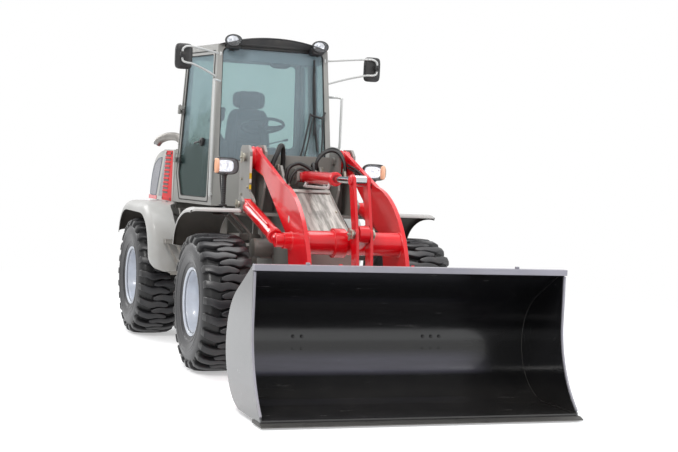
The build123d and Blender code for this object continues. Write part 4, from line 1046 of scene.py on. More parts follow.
lock.append(pipe([cab_side([(y, z)], inset)[0] for y, z, inset in INNER_PULL], 0.010, 10, 30))
plates = []
for z in (1.536, 1.956):
    foot = cab_side([(0.742, z)], -0.004)[0]
    places = [foot + (x, 0, 0) for x in (-0.004, 0.007, 0.011)]
    plates.append(loft(HINGE_COVER, places, (0, 1, 0), (0, 0, 1)))
for hand, name in SIDES:
    door = "door_" + name
    piece("door_lock_" + name, handed(lock, hand), door, BLACK_PLASTIC, smooth=35)
    piece("door_hinge_cover_" + name, handed(plates, hand), door, BLACK_PLASTIC, smooth=35)

# %% [markdown]
# ## Roof, headliner and lamps
# The roof is a thin arched panel. Under it the headliner closes the cab. At its front corners stand two oval
# work lamps, each a black bowl with a chromed reflector behind a ribbed clear lens.

# %% Work lamps
def lamp(centre, aim, a, b, depth, power=2.0):
    """Bowl, bezel, reflector and lens of an oval lamp: lofts of the same oval along the lamp's aim."""
    d = np.asarray(aim, float) / np.linalg.norm(aim)
    side = np.cross(d, (0, 0, 1.0))
    side /= np.linalg.norm(side)
    rise = np.cross(side, d)
    centre = np.asarray(centre, float)

    def rings(rows, wrap=False):
        outlines = [oval(a * k, b * k, power, 48) for _, k in rows]
        return loft(outlines, [centre + d * depth * t for t, _ in rows], side, rise, wrap)

    bowl = rings(
        [
            (-1.0, 0.30), (-0.97, 0.48), (-0.80, 0.72), (-0.45, 0.92), (-0.12, 1.0), (0.0, 1.0),
            (0.05, 0.97), (0.05, 0.90), (-0.02, 0.90), (-0.1, 0.88), (-0.55, 0.60), (-0.75, 0.3)
        ]
    )
    reflector = rings(
        [
            (-0.08, 0.895), (-0.30, 0.80), (-0.50, 0.60), (-0.62, 0.38), (-0.66, 0.18), (-0.67, 0.18),
            (-0.63, 0.40), (-0.52, 0.62), (-0.32, 0.82), (-0.10, 0.897)
        ],
        wrap=True
    )
    lens = rings([(0.0, 0.90), (0.035, 0.885), (0.075, 0.74), (0.105, 0.5), (0.12, 0.2), (0.125, 0.05)])
    bulb = turned(
        [
            (-0.64 * depth, 0.010), (-0.30 * depth, 0.010), (-0.22 * depth, 0.006), (-0.20 * depth, 0.0),
            (-0.64 * depth, 0.0)
        ],
        centre, d, 16
    )
    return bowl, reflector, lens, bulb


work = [lamp((x, 0.095, 2.548), (0.05 * np.sign(x), -1, -0.16), 0.073, 0.051, 0.09) for x in (0.38, -0.38)]
brackets = []
for hand in (1, -1):
    low = loft([oval(0.045, 0.030, 3), oval(0.062, 0.036, 3), oval(0.050, 0.026, 3)],
               [(hand * 0.36, 0.215, 2.505), (hand * 0.365, 0.155, 2.507), (hand * 0.37, 0.110, 2.512)])
    brackets += [low] + hex_bolt((hand * 0.372, 0.15, 2.474), (0, 0, -1), 0.009)
bowls = piece(
    "work_lamp_bowls", [w[0] for w in work] + brackets, "rear_body", BLACK_PLASTIC, smooth=45
)
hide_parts("work_lamps")
piece("work_lamp_reflectors", [w[1] for w in work], "rear_body", LAMP_SILVER, smooth=60)
piece("work_lamp_lenses", [w[2] for w in work], "rear_body", CLEAR_LENS, smooth=60)
piece("work_lamp_bulbs", [w[3] for w in work], "rear_body", LAMP_SILVER, smooth=60)

# %% Roof trim and headliner
liner = [(-0.40, 0.25), (0.40, 0.25), (0.52, 0.80), (0.46, 1.00), (-0.46, 1.00), (-0.52, 0.80)]
panel = slab(liner, 2.470, 2.492, axis=2)
console = loft([oval(0.20, 0.10, 5), oval(0.20, 0.10, 5), oval(0.16, 0.07, 5)],
               [(0.0, 0.62, 2.472), (0.0, 0.62, 2.452), (0.0, 0.62, 2.440)], *LEVEL)
piece("headliner", [panel, console], "rear_body", TRIM_GREY, bevel=0.004)
visor = [(-0.43, 0.235), (0.43, 0.235), (0.40, 0.262), (-0.40, 0.262)]
piece("sun_visor", [slab(visor, 2.395, 2.486, axis=2)], "rear_body", TRIM_GREY, bevel=0.006)
ROOF_TOP, ROOF_RADIUS = 2.600, 1.45
seam = [np.array([x, 0.12, ROOF_TOP - ROOF_RADIUS + math.sqrt(ROOF_RADIUS**2 - x * x) - 0.012])
        for x in np.linspace(-0.44, 0.44, 15)]
header = cab_front([(-0.425, 2.497), (-0.425, 2.519), (0.425, 2.519), (0.425, 2.497)], -0.003)
header_panel = surface(np.stack([header, header + (0, 0.004, 0)]), wrap_cols=True, caps=True)
piece("cab_header_panel", [header_panel], "rear_body", BLACK_PLASTIC)
roof_lip = swept(smooth_path(seam, 40), oval(0.012, 0.006, 3, 16))
piece("roof_front_lip", [roof_lip], "rear_body", BLACK_PLASTIC)

# %% [markdown]
# ## Mirrors and handrails
# The mirrors are soft-cornered black shells with a glass set in the rear. Each hangs on two bright tubes
# that bend round to one clamp. The handrails are light tubes with small flanges.

# %% Mirrors
SHELL_ROWS = (
    (0.030, 0.070, -0.024), (0.055, 0.090, -0.020), (0.068, 0.101, -0.008),
    (0.071, 0.1035, 0.010), (0.071, 0.1035, 0.024), (0.066, 0.098, 0.026),
)
HIGH_ARM = [(0.462, 0.215, 2.44), (0.60, 0.10, 2.452), (0.73, 0.0, 2.462), (0.800, -0.042, 2.462),
            (0.838, -0.046, 2.440), (0.842, -0.046, 2.400)]
LOW_ARM = [(0.470, 0.205, 2.24), (0.62, 0.09, 2.292), (0.75, -0.01, 2.326), (0.805, -0.044, 2.330),
           (0.838, -0.046, 2.345), (0.842, -0.046, 2.385)]
ARM_ROOT = [(0, 0.0), (0, 0.022), (0.010, 0.022), (0.014, 0.013), (0.014, 0.0)]
CLAMP = [oval(0.020, 0.024, 3, 24), oval(0.022, 0.027, 3, 24), oval(0.017, 0.020, 3, 24)]
shell, glass, arms, clamps = [], [], [], []
for hand in (1, -1):
    middle = np.array([hand * 0.818, 0.0, 2.383])
    outlines = [oval(w, h, 5, 40) for w, h, _ in SHELL_ROWS]
    shell.append(loft(outlines, [middle + (0, y, 0) for _, _, y in SHELL_ROWS]))
    glass.append(loft([oval(0.062, 0.094, 5, 40)] * 2, [middle + (0, 0.0255, 0), middle + (0, 0.0285, 0)]))
    for arm in (HIGH_ARM, LOW_ARM):
        path = np.array(arm) * (hand, 1, 1)
        arms.append(pipe(path, 0.0088, 12, 60))
        arms.append(turned(ARM_ROOT, path[0] + (0, -0.006, 0), path[1] - path[0], 20))
    clamps.append(loft(CLAMP, [(hand * 0.842, y, 2.392) for y in (-0.066, -0.044, -0.020)]))
    clamps += hex_bolt((hand * 0.842, -0.066, 2.392), (0, -1, 0), 0.008)
heads = piece("mirror_shells", shell + clamps, "rear_body", BLACK_PLASTIC, smooth=45)
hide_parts("mirrors")
piece("mirror_glasses", glass, "rear_body", MIRROR_CHROME)
piece("mirror_arms", arms, "rear_body", BRIGHT_TUBE, smooth=50)

# %% Handrails
RAIL_FLANGE = [(0, 0.0), (0, 0.024), (0.006, 0.024), (0.009, 0.014), (0.009, 0)]
rails = []
for hand, low, high in ((-1, 1.26, 2.22), (1, 1.69, 2.15)):
    x, y, reach = (0.552, 0.030, 0.520) if hand < 0 else (0.640, 0.230, 0.548)
    foot_y = y + 0.055 if hand < 0 else y + 0.02
    path = [
        (hand * reach, foot_y, low + 0.02), (hand * (x - 0.01), y + 0.01, low + 0.012),
        (hand * x, y, low + 0.05), (hand * x, y, (low + high) / 2), (hand * x, y, high - 0.05),
        (hand * (x - 0.01), y + 0.01, high - 0.012), (hand * (reach - 0.05), foot_y + 0.06, high - 0.01)
    ]
    rails.append(pipe(path, 0.011, 12, 80))
    rails.append(turned(RAIL_FLANGE, path[0], (hand, -0.2, 0), 20))
bars = piece("grab_rails", rails, "rear_body", BRIGHT_TUBE, smooth=50)
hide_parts("handrails")

# %% [markdown]
# ## Wiper
# The windscreen's wiper parks at the left pillar. Two parallel arms from a motor below the glass carry a
# blade, so the blade stays upright as it sweeps.

# %% Wiper
def on_glass(x, z, stand):
    return cab_front([(x, z)], -stand)[0]


# (x, z, distance off the glass) along each bar, its radius and its number of rings
WIPER_BARS = (
    (((0.222, 1.572, 0.012), (0.262, 1.72, 0.032), (0.320, 1.985, 0.036)), 0.0085, 20),
    (((0.262, 1.566, 0.012), (0.300, 1.74, 0.030), (0.348, 1.975, 0.034)), 0.0060, 20),
    (
        ((0.315, 1.975, 0.034), (0.368, 1.960, 0.038), (0.424, 1.955, 0.034), (0.452, 2.000, 0.030)),
        0.0095, 16
    ),
    (((0.352, 1.80, 0.022), (0.362, 1.96, 0.030), (0.360, 2.16, 0.026), (0.356, 2.34, 0.018)), 0.0075, 30),
    (((0.424, 1.62, 0.014), (0.430, 1.80, 0.026), (0.424, 1.955, 0.032)), 0.0075, 20),
)
BLADE = (
    (0.360, 2.440, 0.008), (0.352, 2.230, 0.010), (0.357, 2.020, 0.010), (0.372, 1.830, 0.010),
    (0.392, 1.660, 0.008)
)
PIVOT_CAP = [(0, 0), (0, 0.024), (0.018, 0.022), (0.026, 0.012), (0.026, 0)]
wiper = [
    pipe([on_glass(*place) for place in places], radius, 8, rings) for places, radius, rings in WIPER_BARS
]
wiper.append(swept(smooth_path([on_glass(*place) for place in BLADE], 40), oval(0.0075, 0.014, 3, 12)))
for z in (1.90, 2.08, 2.24, 2.36):
    clip = [on_glass(0.358, z - 0.05, 0.014), on_glass(0.359, z, 0.028), on_glass(0.358, z + 0.05, 0.014)]
    wiper.append(pipe(clip, 0.0045, 6, 10))
for x, z in ((0.222, 1.572), (0.262, 1.566), (0.424, 1.62)):
    wiper.append(turned(PIVOT_CAP, on_glass(x, z, 0.0), (0, -1, 0.115), 20))
piece("windscreen_wiper", wiper, "rear_body", BLACK_PLASTIC, smooth=45)
fluid = [on_glass(0.20, 1.56, 0.01), on_glass(0.12, 1.535, 0.02), on_glass(0.02, 1.53, 0.012)]
piece("washer_hose", [pipe(fluid, 0.004, 8, 20)], "rear_body", BLACK_RUBBER)

# %% [markdown]
# ## Inside the cab
# Through the glass show the steering wheel on its dash, an inside mirror, side consoles with levers, and a
# sprung seat. The wheel is a ring with three spokes, all tubes along smooth paths.

# %% Dash and steering wheel
AXIS = np.array([0, 0.32, 0.95])
AXIS = AXIS / np.linalg.norm(AXIS)
HUB = np.array([0.0, 0.430, 1.868])
across, ahead = np.array([1.0, 0, 0]), np.cross(AXIS, (1.0, 0, 0))


def on_wheel(turn, radius, lift=0.0):
    return HUB + across * radius * math.cos(turn) + ahead * radius * math.sin(turn) + AXIS * lift


HUB_COVER = [(-0.035, 0.0), (-0.035, 0.030), (-0.010, 0.046), (0.002, 0.044), (0.008, 0.034), (0.010, 0.0)]
SPINNER = [(0, 0.0), (0, 0.012), (0.03, 0.020), (0.05, 0.018), (0.058, 0.0)]
# half width, half depth, y and z of each outline of the dash, from the floor up
DASH_ROWS = (
    (0.105, 0.060, 0.262, 1.209), (0.108, 0.062, 0.262, 1.30), (0.100, 0.056, 0.262, 1.48),
    (0.135, 0.062, 0.262, 1.60), (0.155, 0.050, 0.268, 1.668), (0.14, 0.040, 0.272, 1.682),
)
ring = np.array([on_wheel(t, 0.180) for t in np.linspace(0, 2 * math.pi, 72, endpoint=False)])
helm = [bead(ring, 0.0135, 14)]
for turn in (0.0, math.pi, -math.pi / 2):
    spoke = smooth_path(
        [on_wheel(turn, 0.172), on_wheel(turn, 0.11, -0.012), on_wheel(turn, 0.03, -0.016)], 14
    )
    helm.append(swept(spoke, oval(0.006, 0.017, 3, 16)))
helm.append(turned(HUB_COVER, HUB, AXIS, 36))
helm.append(pipe([HUB - AXIS * 0.03, HUB - AXIS * 0.16, (0, 0.31, 1.60), (0, 0.29, 1.50)], 0.030, 16, 24))
helm.append(turned(SPINNER, on_wheel(2.4, 0.178, 0.012), AXIS, 20))
helm.append(
    loft([oval(w, d, 4, 32) for w, d, _, _ in DASH_ROWS], [(0, y, z) for _, _, y, z in DASH_ROWS], *LEVEL)
)
for hand in (1, -1):
    stalk = [(hand * 0.03, 0.36, 1.71), (hand * 0.12, 0.372, 1.735), (hand * 0.19, 0.38, 1.752)]
    helm.append(pipe(stalk, 0.005, 8, 10))
    knob = [(0, 0), (0, 0.010), (0.035, 0.011), (0.042, 0.0)]
    helm.append(turned(knob, (hand * 0.18, 0.379, 1.750), (hand, 0.1, 0.22), 12))
column = piece("steering_wheel", helm, "rear_body", BLACK_PLASTIC, smooth=45)
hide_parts("steering_column")
GAUGE = [(0, 0.026), (0.008, 0.026), (0.010, 0.022), (0.006, 0.022), (0.006, 0.0), (0, 0.0)]
gauges = [turned(GAUGE, (x, 0.292, 1.668), (0, 0.55, 0.83), 24) for x in (-0.062, 0.0, 0.062)]
piece("dash_gauges", gauges, "rear_body", BRIGHT_TUBE)

# %% Consoles, levers, pedals, inside mirror
# half width, half depth, x, y and z of each outline, from the foot up
CONSOLE_ROWS = (
    (0.075, 0.20, -0.345, 0.68, 1.209), (0.080, 0.21, -0.345, 0.68, 1.40),
    (0.072, 0.20, -0.345, 0.66, 1.70), (0.060, 0.18, -0.345, 0.66, 1.735),
)
GRIP_ROWS = (
    (0.018, 0.020, -0.342, 0.530, 1.895), (0.027, 0.030, -0.341, 0.526, 1.925),
    (0.024, 0.028, -0.340, 0.522, 1.965), (0.030, 0.034, -0.339, 0.518, 1.995),
    (0.020, 0.022, -0.339, 0.516, 2.010),
)
BOOT = [(-0.004, 0.045), (0.006, 0.045), (0.030, 0.026), (0.050, 0.016), (0.050, 0.0), (-0.004, 0.0)]
levers = [loft([oval(w, d, 5, 32) for w, d, *_ in CONSOLE_ROWS], [row[2:] for row in CONSOLE_ROWS], *LEVEL)]
levers.append(turned(BOOT, (-0.345, 0.555, 1.735), (0, 0, 1), 24))
levers.append(pipe([(-0.345, 0.555, 1.77), (-0.345, 0.545, 1.84), (-0.342, 0.53, 1.90)], 0.009, 10, 12))
levers.append(loft([oval(w, d, 3, 20) for w, d, *_ in GRIP_ROWS], [row[2:] for row in GRIP_ROWS], *LEVEL))
for y in (0.66, 0.72, 0.78):
    levers.append(pipe([(-0.345, y, 1.73), (-0.345, y - 0.008, 1.79)], 0.006, 8, 6))
    levers.append(pillow((-0.357, y - 0.020, 1.785), (-0.333, y + 0.004, 1.815), 2.5, 10, 14))
for x in (-0.11, 0.05, 0.15):
    levers.append(pipe([(x, 0.30, 1.212), (x, 0.345, 1.27), (x, 0.35, 1.30)], 0.008, 8, 10))
    pedal = [(x, 0.350, 1.300), (x, 0.338, 1.308)]
    levers.append(loft([oval(0.034, 0.045, 5, 24)] * 2, pedal, (1, 0, 0), (0, 0.45, 0.9)))
piece("cab_controls", levers, "rear_body", BLACK_PLASTIC, smooth=45)
inside = [
    loft(
        [
            oval(0.040, 0.022, 3, 32), oval(0.088, 0.040, 3, 32), oval(0.092, 0.043, 3, 32),
            oval(0.086, 0.039, 3, 32)
        ],
        [(0.10, 0.300, 2.400), (0.10, 0.312, 2.400), (0.10, 0.326, 2.400), (0.10, 0.330, 2.400)]
    )
]
inside.append(pipe([(0.10, 0.305, 2.41), (0.10, 0.300, 2.45), (0.10, 0.31, 2.472)], 0.006, 8, 10))
piece("inside_mirror", inside, "rear_body", BLACK_PLASTIC, smooth=45)
floor_mat = [(-0.30, 0.14), (0.30, 0.14), (0.42, 0.50), (0.42, 0.95), (-0.42, 0.95), (-0.42, 0.50)]
mat = [slab(floor_mat, 1.2085, 1.2150, axis=2)]
piece("cab_floor_mat", mat, "rear_body", BLACK_RUBBER, bevel=0.002)

# %% [markdown]
# ## Fenders
# The fenders are pressed sheets. Each is a side profile carried across the tyre, and its outer edge rolls
# down in a round flange. The skin is a grid: one parameter runs along the profile, the other across it, and
# every point is the profile's point moved inwards by the flange's depth there. Solidify gives the thickness.

# %% Fender skins
def fender_skin(profile, x0, x1, roll, lip, round_end=0.0, count=64, hem=0.016, lean=0.0, notch=0.0):
    """Grid of a rolled sheet along (y, z) points; its outer edge turns on a quarter circle of roll."""
    line = smooth_path(profile, count)
    slope = np.gradient(line, axis=0)
    slope /= np.linalg.norm(slope, axis=1)[:, None]
    inward = np.stack([-slope[:, 1], slope[:, 0]], axis=1)
    if np.mean(np.sum(inward * (line.mean(0) - line), axis=1)) < 0:
        inward = -inward
    turn = np.linspace(0, math.pi / 2, 7)
    flat = np.linspace(x0 + 0.02, x1 - roll, 8)
    across = np.concatenate([[x0, x0, x0 + 0.004], flat, x1 - roll + roll * np.sin(turn[1:]), [x1]])
    depth = np.concatenate([[hem, hem / 4, 0.0], np.zeros(8), roll * (1 - np.cos(turn[1:])), [roll + lip]])
    share = np.linspace(0, 1, count)
    near = np.clip(1 - share / max(round_end, 1e-6), 0, 1)
    pull = 0.09 * (1 - np.sqrt(1 - near**2)) + lean * np.clip(1 - share / 0.5, 0, 1) ** 1.5
    outward = ((across - x0) / (x1 - x0))[None, :]
    inner = notch * np.exp(-(((share - 0.36) / 0.15) ** 4))
    x = across[None, :] - pull[:, None] * outward + inner[:, None] * (1 - outward)
    y = line[:, :1] + inward[:, :1] * depth
    z = line[:, 1:] + inward[:, 1:] * depth
    return surface(np.stack([x, y, z], axis=-1))


def sheet_piece(name, bits, body, finish, thickness, under=None):
    """A piece from open skins that Solidify thickens inwards."""
    thing = piece(name, bits, body, finish, smooth=50.0)
    wall = thing.modifiers.new("wall", "SOLIDIFY")
    wall.thickness = thickness
    wall.offset = -1
    if under:
        thing.data.materials.append(under)
        wall.material_offset = 1
        wall.material_offset_rim = 0
    return thing


FRONT_ARCH = [
    (-0.490, 0.885), (-0.504, 0.960), (-0.548, 1.040), (-0.620, 1.105), (-0.710, 1.152), (-0.810, 1.184),
    (-0.910, 1.200), (-1.000, 1.206), (-1.060, 1.205), (-1.086, 1.197), (-1.093, 1.180)
]
REAR_ARCH = [(0.350, 0.604), (0.336, 0.700), (0.332, 0.800), (0.345, 0.900), (0.390, 1.010), (0.470, 1.095),
             (0.580, 1.150), (0.700, 1.168), (0.900, 1.170), (1.120, 1.170), (1.330, 1.166), (1.480, 1.125),
             (1.590, 1.040), (1.645, 0.950), (1.668, 0.885)]
# The fenders' inner faces take the underside finish: road dirt and painted shade under the sheet.
skins = both_sides([fender_skin(FRONT_ARCH, 0.602, 0.976, 0.034, 0.006)])
arch = sheet_piece(
    "fender_skins_front", skins, "front_body", WARM_GREY, 0.0045, under=UNDERSIDE_DIRT_AND_SHADE
)
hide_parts("front_fenders")
skins = both_sides([fender_skin(REAR_ARCH, 0.614, 0.977, 0.085, 0.004, 0.10, 90, lean=0.03, notch=0.13)])
arch = sheet_piece("fender_skins_rear", skins, "rear_body", WARM_GREY, 0.0045, under=UNDERSIDE_DIRT_AND_SHADE)
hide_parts("rear_fenders")

# %% Fender brackets and bolts
tubes, bolts = [], []
for y, low, high, head in ((-0.70, 1.140, 1.148, 1.150), (-0.93, 1.186, 1.194, 1.2015)):
    stay = [(0.66, y, 1.190), (0.61, y, 1.140), (0.50, y + 0.01, 1.035), (0.472, y + 0.01, 0.98),
            (0.466, y + 0.01, 0.82), (0.462, y, 0.66)]
    tubes += [pipe(stay, 0.0115, 12, 50), box((0.640, y - 0.03, low), (0.720, y + 0.03, high))]
    bolts += hex_bolt((0.690, y, head), (0, 0, 1), 0.010)
tubes += [box((0.330, -0.72, 0.955), (0.500, -0.70, 1.000)), box((0.515, -0.64, 1.150), (0.64, -0.59, 1.190))]
tubes += [pipe([(0.600, -0.70, 1.185), (0.600, -0.93, 1.185)], 0.009, 8, 4)]
piece("fender_stays_front", both_sides(tubes), "front_body", AXLE_GREY, bevel=0.002)
rear_tubes = [box((0.330, 0.885, 1.120), (0.620, 0.955, 1.160))]
rear_tubes.append(pipe([(0.40, 1.45, 1.00), (0.62, 1.45, 1.08), (0.80, 1.45, 1.125)], 0.014, 10, 16))
for x in (0.66, 0.80):
    rear_tubes.append(pipe([(x, 0.372, 0.92), (x, 0.60, 1.130)], 0.008, 8, 4))
piece("fender_stays_rear", both_sides(rear_tubes), "rear_body", FRAME_GREY, bevel=0.002)
for y in (0.62, 0.90, 1.25):
    bolts += hex_bolt((0.70, y, 1.170), (0, 0, 1), 0.010)
front_bolts = [b for b in bolts if b[0][:, 1].mean() < 0]
rear_bolts = [b for b in bolts if b[0][:, 1].mean() > 0]
piece("fender_bolts_front", both_sides(front_bolts), "front_body", PIN_STEEL, smooth=30)
piece("fender_bolts_rear", both_sides(rear_bolts), "rear_body", PIN_STEEL, smooth=30)

# %% [markdown]
# ## Headlamps
# The headlamps stand on ribbed stalks. Each is a soft-cornered bowl with a faceted reflector, a clear lens
# and an amber indicator at its outer end.

# %% Headlamps
EYE = [
    (0.0, 0.030), (0.012, 0.026), (0.026, 0.012), (0.028, 0.0), (0.030, 0.0), (0.030, 0.014),
    (0.014, 0.029), (0.0, 0.033)
]
INDICATOR = [oval(0.022, 0.058, 3.5, 28), oval(0.021, 0.055, 3.5, 28), oval(0.013, 0.042, 3.5, 28)]
RIBS, RIB_PITCH = 14, 0.0145
STALK = [(0.0, 0.0), (0.0, 0.032), (0.012, 0.032), (0.016, 0.022)]
for i in range(RIBS):
    STALK += [(0.024 + i * RIB_PITCH, 0.0165), (0.030 + i * RIB_PITCH, 0.0205)]
STALK += [(0.232, 0.019), (0.245, 0.030), (0.256, 0.030), (0.256, 0.0)]
LAMP_WIRE = ((0.64, -0.600, 1.50), (0.632, -0.575, 1.42), (0.626, -0.600, 1.30), (0.622, -0.615, 1.21))
bowls, mirrors, lenses, bulbs, ambers, boots = [], [], [], [], [], []
for hand in (1, -1):
    centre = (hand * 0.615, -0.668, 1.517)
    bowl, mirror, lens, bulb = lamp(centre, (hand * 0.03, -1, 0.0), 0.101, 0.066, 0.092, 3.4)
    bowls.append(bowl)
    mirrors.append(mirror)
    lenses.append(lens)
    bulbs.append(bulb)
    for x in (-0.018, 0.030):
        eye = np.array(centre) + (hand * x, 0.004, 0.0)
        mirrors.append(turned(EYE, eye, (0, 1, 0), 32, closed=True))
    places = ((0.688, -0.660), (0.688, -0.6725), (0.686, -0.679))
    ambers.append(loft(INDICATOR, [(hand * x, y, 1.517) for x, y in places]))
    boots.append(turned(STALK, (hand * 0.618, -0.632, 1.206), (0, -0.02, 1), 20))
    boots.append(box((hand * 0.588, -0.650, 1.455), (hand * 0.646, -0.612, 1.470)))
    boots.append(pipe([(hand * x, y, z) for x, y, z in LAMP_WIRE], 0.005, 8, 24))
shells = piece("headlamp_bowls", bowls + boots, "front_body", BLACK_PLASTIC, smooth=45)
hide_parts("headlamps")
piece("headlamp_reflectors", mirrors + bulbs, "front_body", LAMP_SILVER, smooth=60)
piece("headlamp_lenses", lenses, "front_body", CLEAR_LENS, smooth=60)
piece("indicator_lenses", ambers, "front_body", PALE_AMBER, smooth=60)

# %% [markdown]
# ## Front frame details
# Dark side skirts run down from the towers and carry a small round reservoir on each side. The pins end in
# caps held by keeper plates, and blank label strips stand on the tower's front edges.

# %% Skirts, reservoirs, valve block
skirt = [
    (-0.700, 1.155), (-0.800, 1.110), (-1.005, 0.985), (-1.036, 0.930), (-1.036, 0.815), (-1.080, 0.700),
    (-1.060, 0.640), (-0.760, 0.640), (-0.640, 0.700), (-0.640, 1.155)
]
skirt_cap = [(-0.66, 1.155), (-0.66, 1.14), (-1.02, 0.97), (-1.036, 0.985), (-0.80, 1.118), (-0.70, 1.163)]
plates = [slab(skirt, 0.318, 0.328), slab(skirt_cap, 0.300, 0.340)]
piece("frame_skirts", both_sides(plates), "front_body", SHADOW_GREY, bevel=0.002)
tank = [
    (0.0, 0.0), (0.0, 0.058), (0.006, 0.069), (0.016, 0.072), (0.120, 0.072), (0.126, 0.0745),
    (0.132, 0.072), (0.146, 0.069), (0.154, 0.055), (0.157, 0.0)
]
tanks = [turned(tank, (0.328, -0.985, 0.912), (1, 0, 0), 40)]
tanks.append(box((0.328, -1.02, 0.835), (0.42, -0.95, 0.85)))
air_line = [(0.40, -0.985, 0.985), (0.40, -0.94, 1.02), (0.36, -0.86, 1.05), (0.33, -0.78, 1.04)]
tanks.append(pipe(air_line, 0.008, 8, 20))
piece("air_reservoirs", both_sides(tanks), "front_body", AXLE_GREY, smooth=40)
valve = [box((-0.300, -0.640, 1.375), (-0.120, -0.520, 1.500))]
for x0, x1 in ((-0.285, -0.255), (-0.235, -0.205), (-0.185, -0.155)):
    valve.append(box((x0, -0.660, 1.395), (x1, -0.640, 1.485)))
valve.append(box((0.120, -0.600, 1.400), (0.250, -0.520, 1.490)))
piece("valve_block", valve, "front_body", CASTING, bevel=0.004)
NIPPLE = [(-0.004, 0.0), (-0.004, 0.014), (0.014, 0.014), (0.016, 0.011), (0.022, 0.011), (0.022, 0.0)]
NIPPLE_CAP = [(0.020, 0.0), (0.020, 0.0115), (0.045, 0.0105), (0.047, 0.0)]
fittings = []
for place in ((-0.27, -0.60, 1.50), (-0.22, -0.60, 1.50), (-0.17, -0.60, 1.50), (-0.245, -0.55, 1.50),
              (-0.195, -0.55, 1.50), (0.16, -0.56, 1.49), (0.21, -0.56, 1.49)):
    fittings += [turned(NIPPLE, place, (0, 0, 1), 6), turned(NIPPLE_CAP, place, (0, 0, 1), 16)]
piece("valve_fittings", fittings, "front_body", ZINC, smooth=30)

# %% Hoses
# the points of each hose, then its radius
HOSE_RUNS = (
    (
        (
            (-0.232, -0.600, 1.500), (-0.217, -0.600, 1.555), (-0.188, -0.600, 1.627),
            (-0.160, -0.590, 1.690), (-0.130, -0.560, 1.680), (-0.110, -0.520, 1.590),
            (-0.105, -0.500, 1.440)
        ),
        0.0200
    ),
    (
        (
            (-0.150, -0.720, 1.375), (-0.140, -0.720, 1.475), (-0.116, -0.720, 1.531),
            (-0.051, -0.725, 1.561), (0.007, -0.740, 1.544), (0.052, -0.770, 1.512), (0.060, -0.840, 1.492)
        ),
        0.0150
    ),
    (
        (
            (-0.132, -0.745, 1.366), (-0.108, -0.745, 1.458), (-0.057, -0.745, 1.514),
            (0.001, -0.750, 1.512), (0.040, -0.780, 1.478), (0.052, -0.800, 1.452)
        ),
        0.0115
    ),
    (
        (
            (0.120, -0.620, 1.440), (0.112, -0.680, 1.563), (0.158, -0.680, 1.636), (0.225, -0.690, 1.671),
            (0.282, -0.720, 1.655), (0.312, -0.780, 1.580), (0.318, -0.800, 1.480)
        ),
        0.0130
    ),
    (
        (
            (0.165, -0.600, 1.450), (0.128, -0.660, 1.594), (0.181, -0.660, 1.660), (0.245, -0.665, 1.690),
            (0.298, -0.690, 1.670), (0.322, -0.740, 1.600), (0.322, -0.760, 1.500)
        ),
        0.0105
    ),
    (
        (
            (-0.245, -0.550, 1.480), (-0.250, -0.530, 1.560), (-0.255, -0.505, 1.600),
            (-0.262, -0.482, 1.560), (-0.265, -0.470, 1.480)
        ),
        0.0105
    ),
)
# the hoses whose far end moves with the tilt cylinder
TO_TILT_BARREL = (1, 2)
hoses, loops, ends, barrel_ends = [], [], [], []
for i, (points, radius) in enumerate(HOSE_RUNS):
    (loops if i in TO_TILT_BARREL else hoses).append(pipe(points, radius, 12, 60))
    ferrule = [(-0.012, 0.0), (-0.012, radius + 0.004), (0.006, radius + 0.004), (0.008, radius + 0.0025),
               (0.034, radius + 0.002), (0.036, 0.0)]
    for foot, second, last in ((points[0], points[1], False), (points[-1], points[-2], True)):
        bit = turned(ferrule, foot, np.array(second) - np.array(foot), 16)
        (barrel_ends if last and i in TO_TILT_BARREL else ends).append(bit)
lines = piece("hose_runs", hoses, "front_body", HOSE_RUBBER, smooth=60)
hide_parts("hydraulic_hoses")
piece("hose_ends", ends, "front_body", ZINC, smooth=30)
piece("tilt_hose_ends", barrel_ends, "tilt_barrel", ZINC, smooth=30)
looped = piece("tilt_hose_loops", loops, None, HOSE_RUBBER, smooth=60)
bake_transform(looped)

# %% Pin caps and keeper plates
# (y, z) of each pin of the loader arm and its cylinders
ARM_PIVOT, ARM_TIP, BELLCRANK, CROSS_TUBE = (-0.590, 1.590), (-2.150, 0.280), (-2.030, 1.090), (-1.840, 1.015)
CYL_BASE, ROD_EYE = (-0.780, 1.230), (-1.610, 1.010)
TILT_BASE, BELL_TOP = (-0.705, 1.457), (-1.930, 1.460)
GREASE_NIPPLE = [(0, 0.0), (0, 0.005), (0.006, 0.005), (0.008, 0.003), (0.014, 0.003), (0.015, 0.0)]


def pin_cap(place, out, radius):
    """A pin's end: a chamfered disc, a keeper plate across it, its bolt and a grease nipple."""
    place, out = np.array(place, float), np.array(out, float)
    disc = [(-0.002, 0.0), (-0.002, radius), (0.010, radius), (0.013, radius - 0.004), (0.013, 0.0)]
    low = place + out * 0.0125
    foot = low + (0, radius * 0.75, 0)
    top = foot + out * 0.006
    keeper = loft([oval(radius * 0.45, radius * 1.3, 4, 20)] * 2, [foot, top], (0, 1, 0), (0, 0, 1))
    bolt = hex_bolt(top, out, 0.009, 0.007)
    return [turned(disc, place, out, 32), keeper, *bolt, turned(GREASE_NIPPLE, low, out, 8)]


def caps_at(name, body, pin, out_x, radius):
    """Both ends of a pin, each out_x from the machine's middle."""
    bits = []
    for hand in (1, -1):
        bits += pin_cap((hand * out_x, *pin), (hand, 0, 0), radius)
    piece(name, bits, body, ZINC, smooth=32)


caps_at("tower_pin_caps", "front_body", ARM_PIVOT, 0.4495, 0.034)
caps_at("cylinder_pin_caps", "front_body", CYL_BASE, 0.5335, 0.026)
caps_at("tip_pin_caps", "tip_shaft", ARM_TIP, 0.424, 0.028)
caps_at("bellcrank_pin_caps", "bellcrank_pin", BELLCRANK, 0.0738, 0.034)

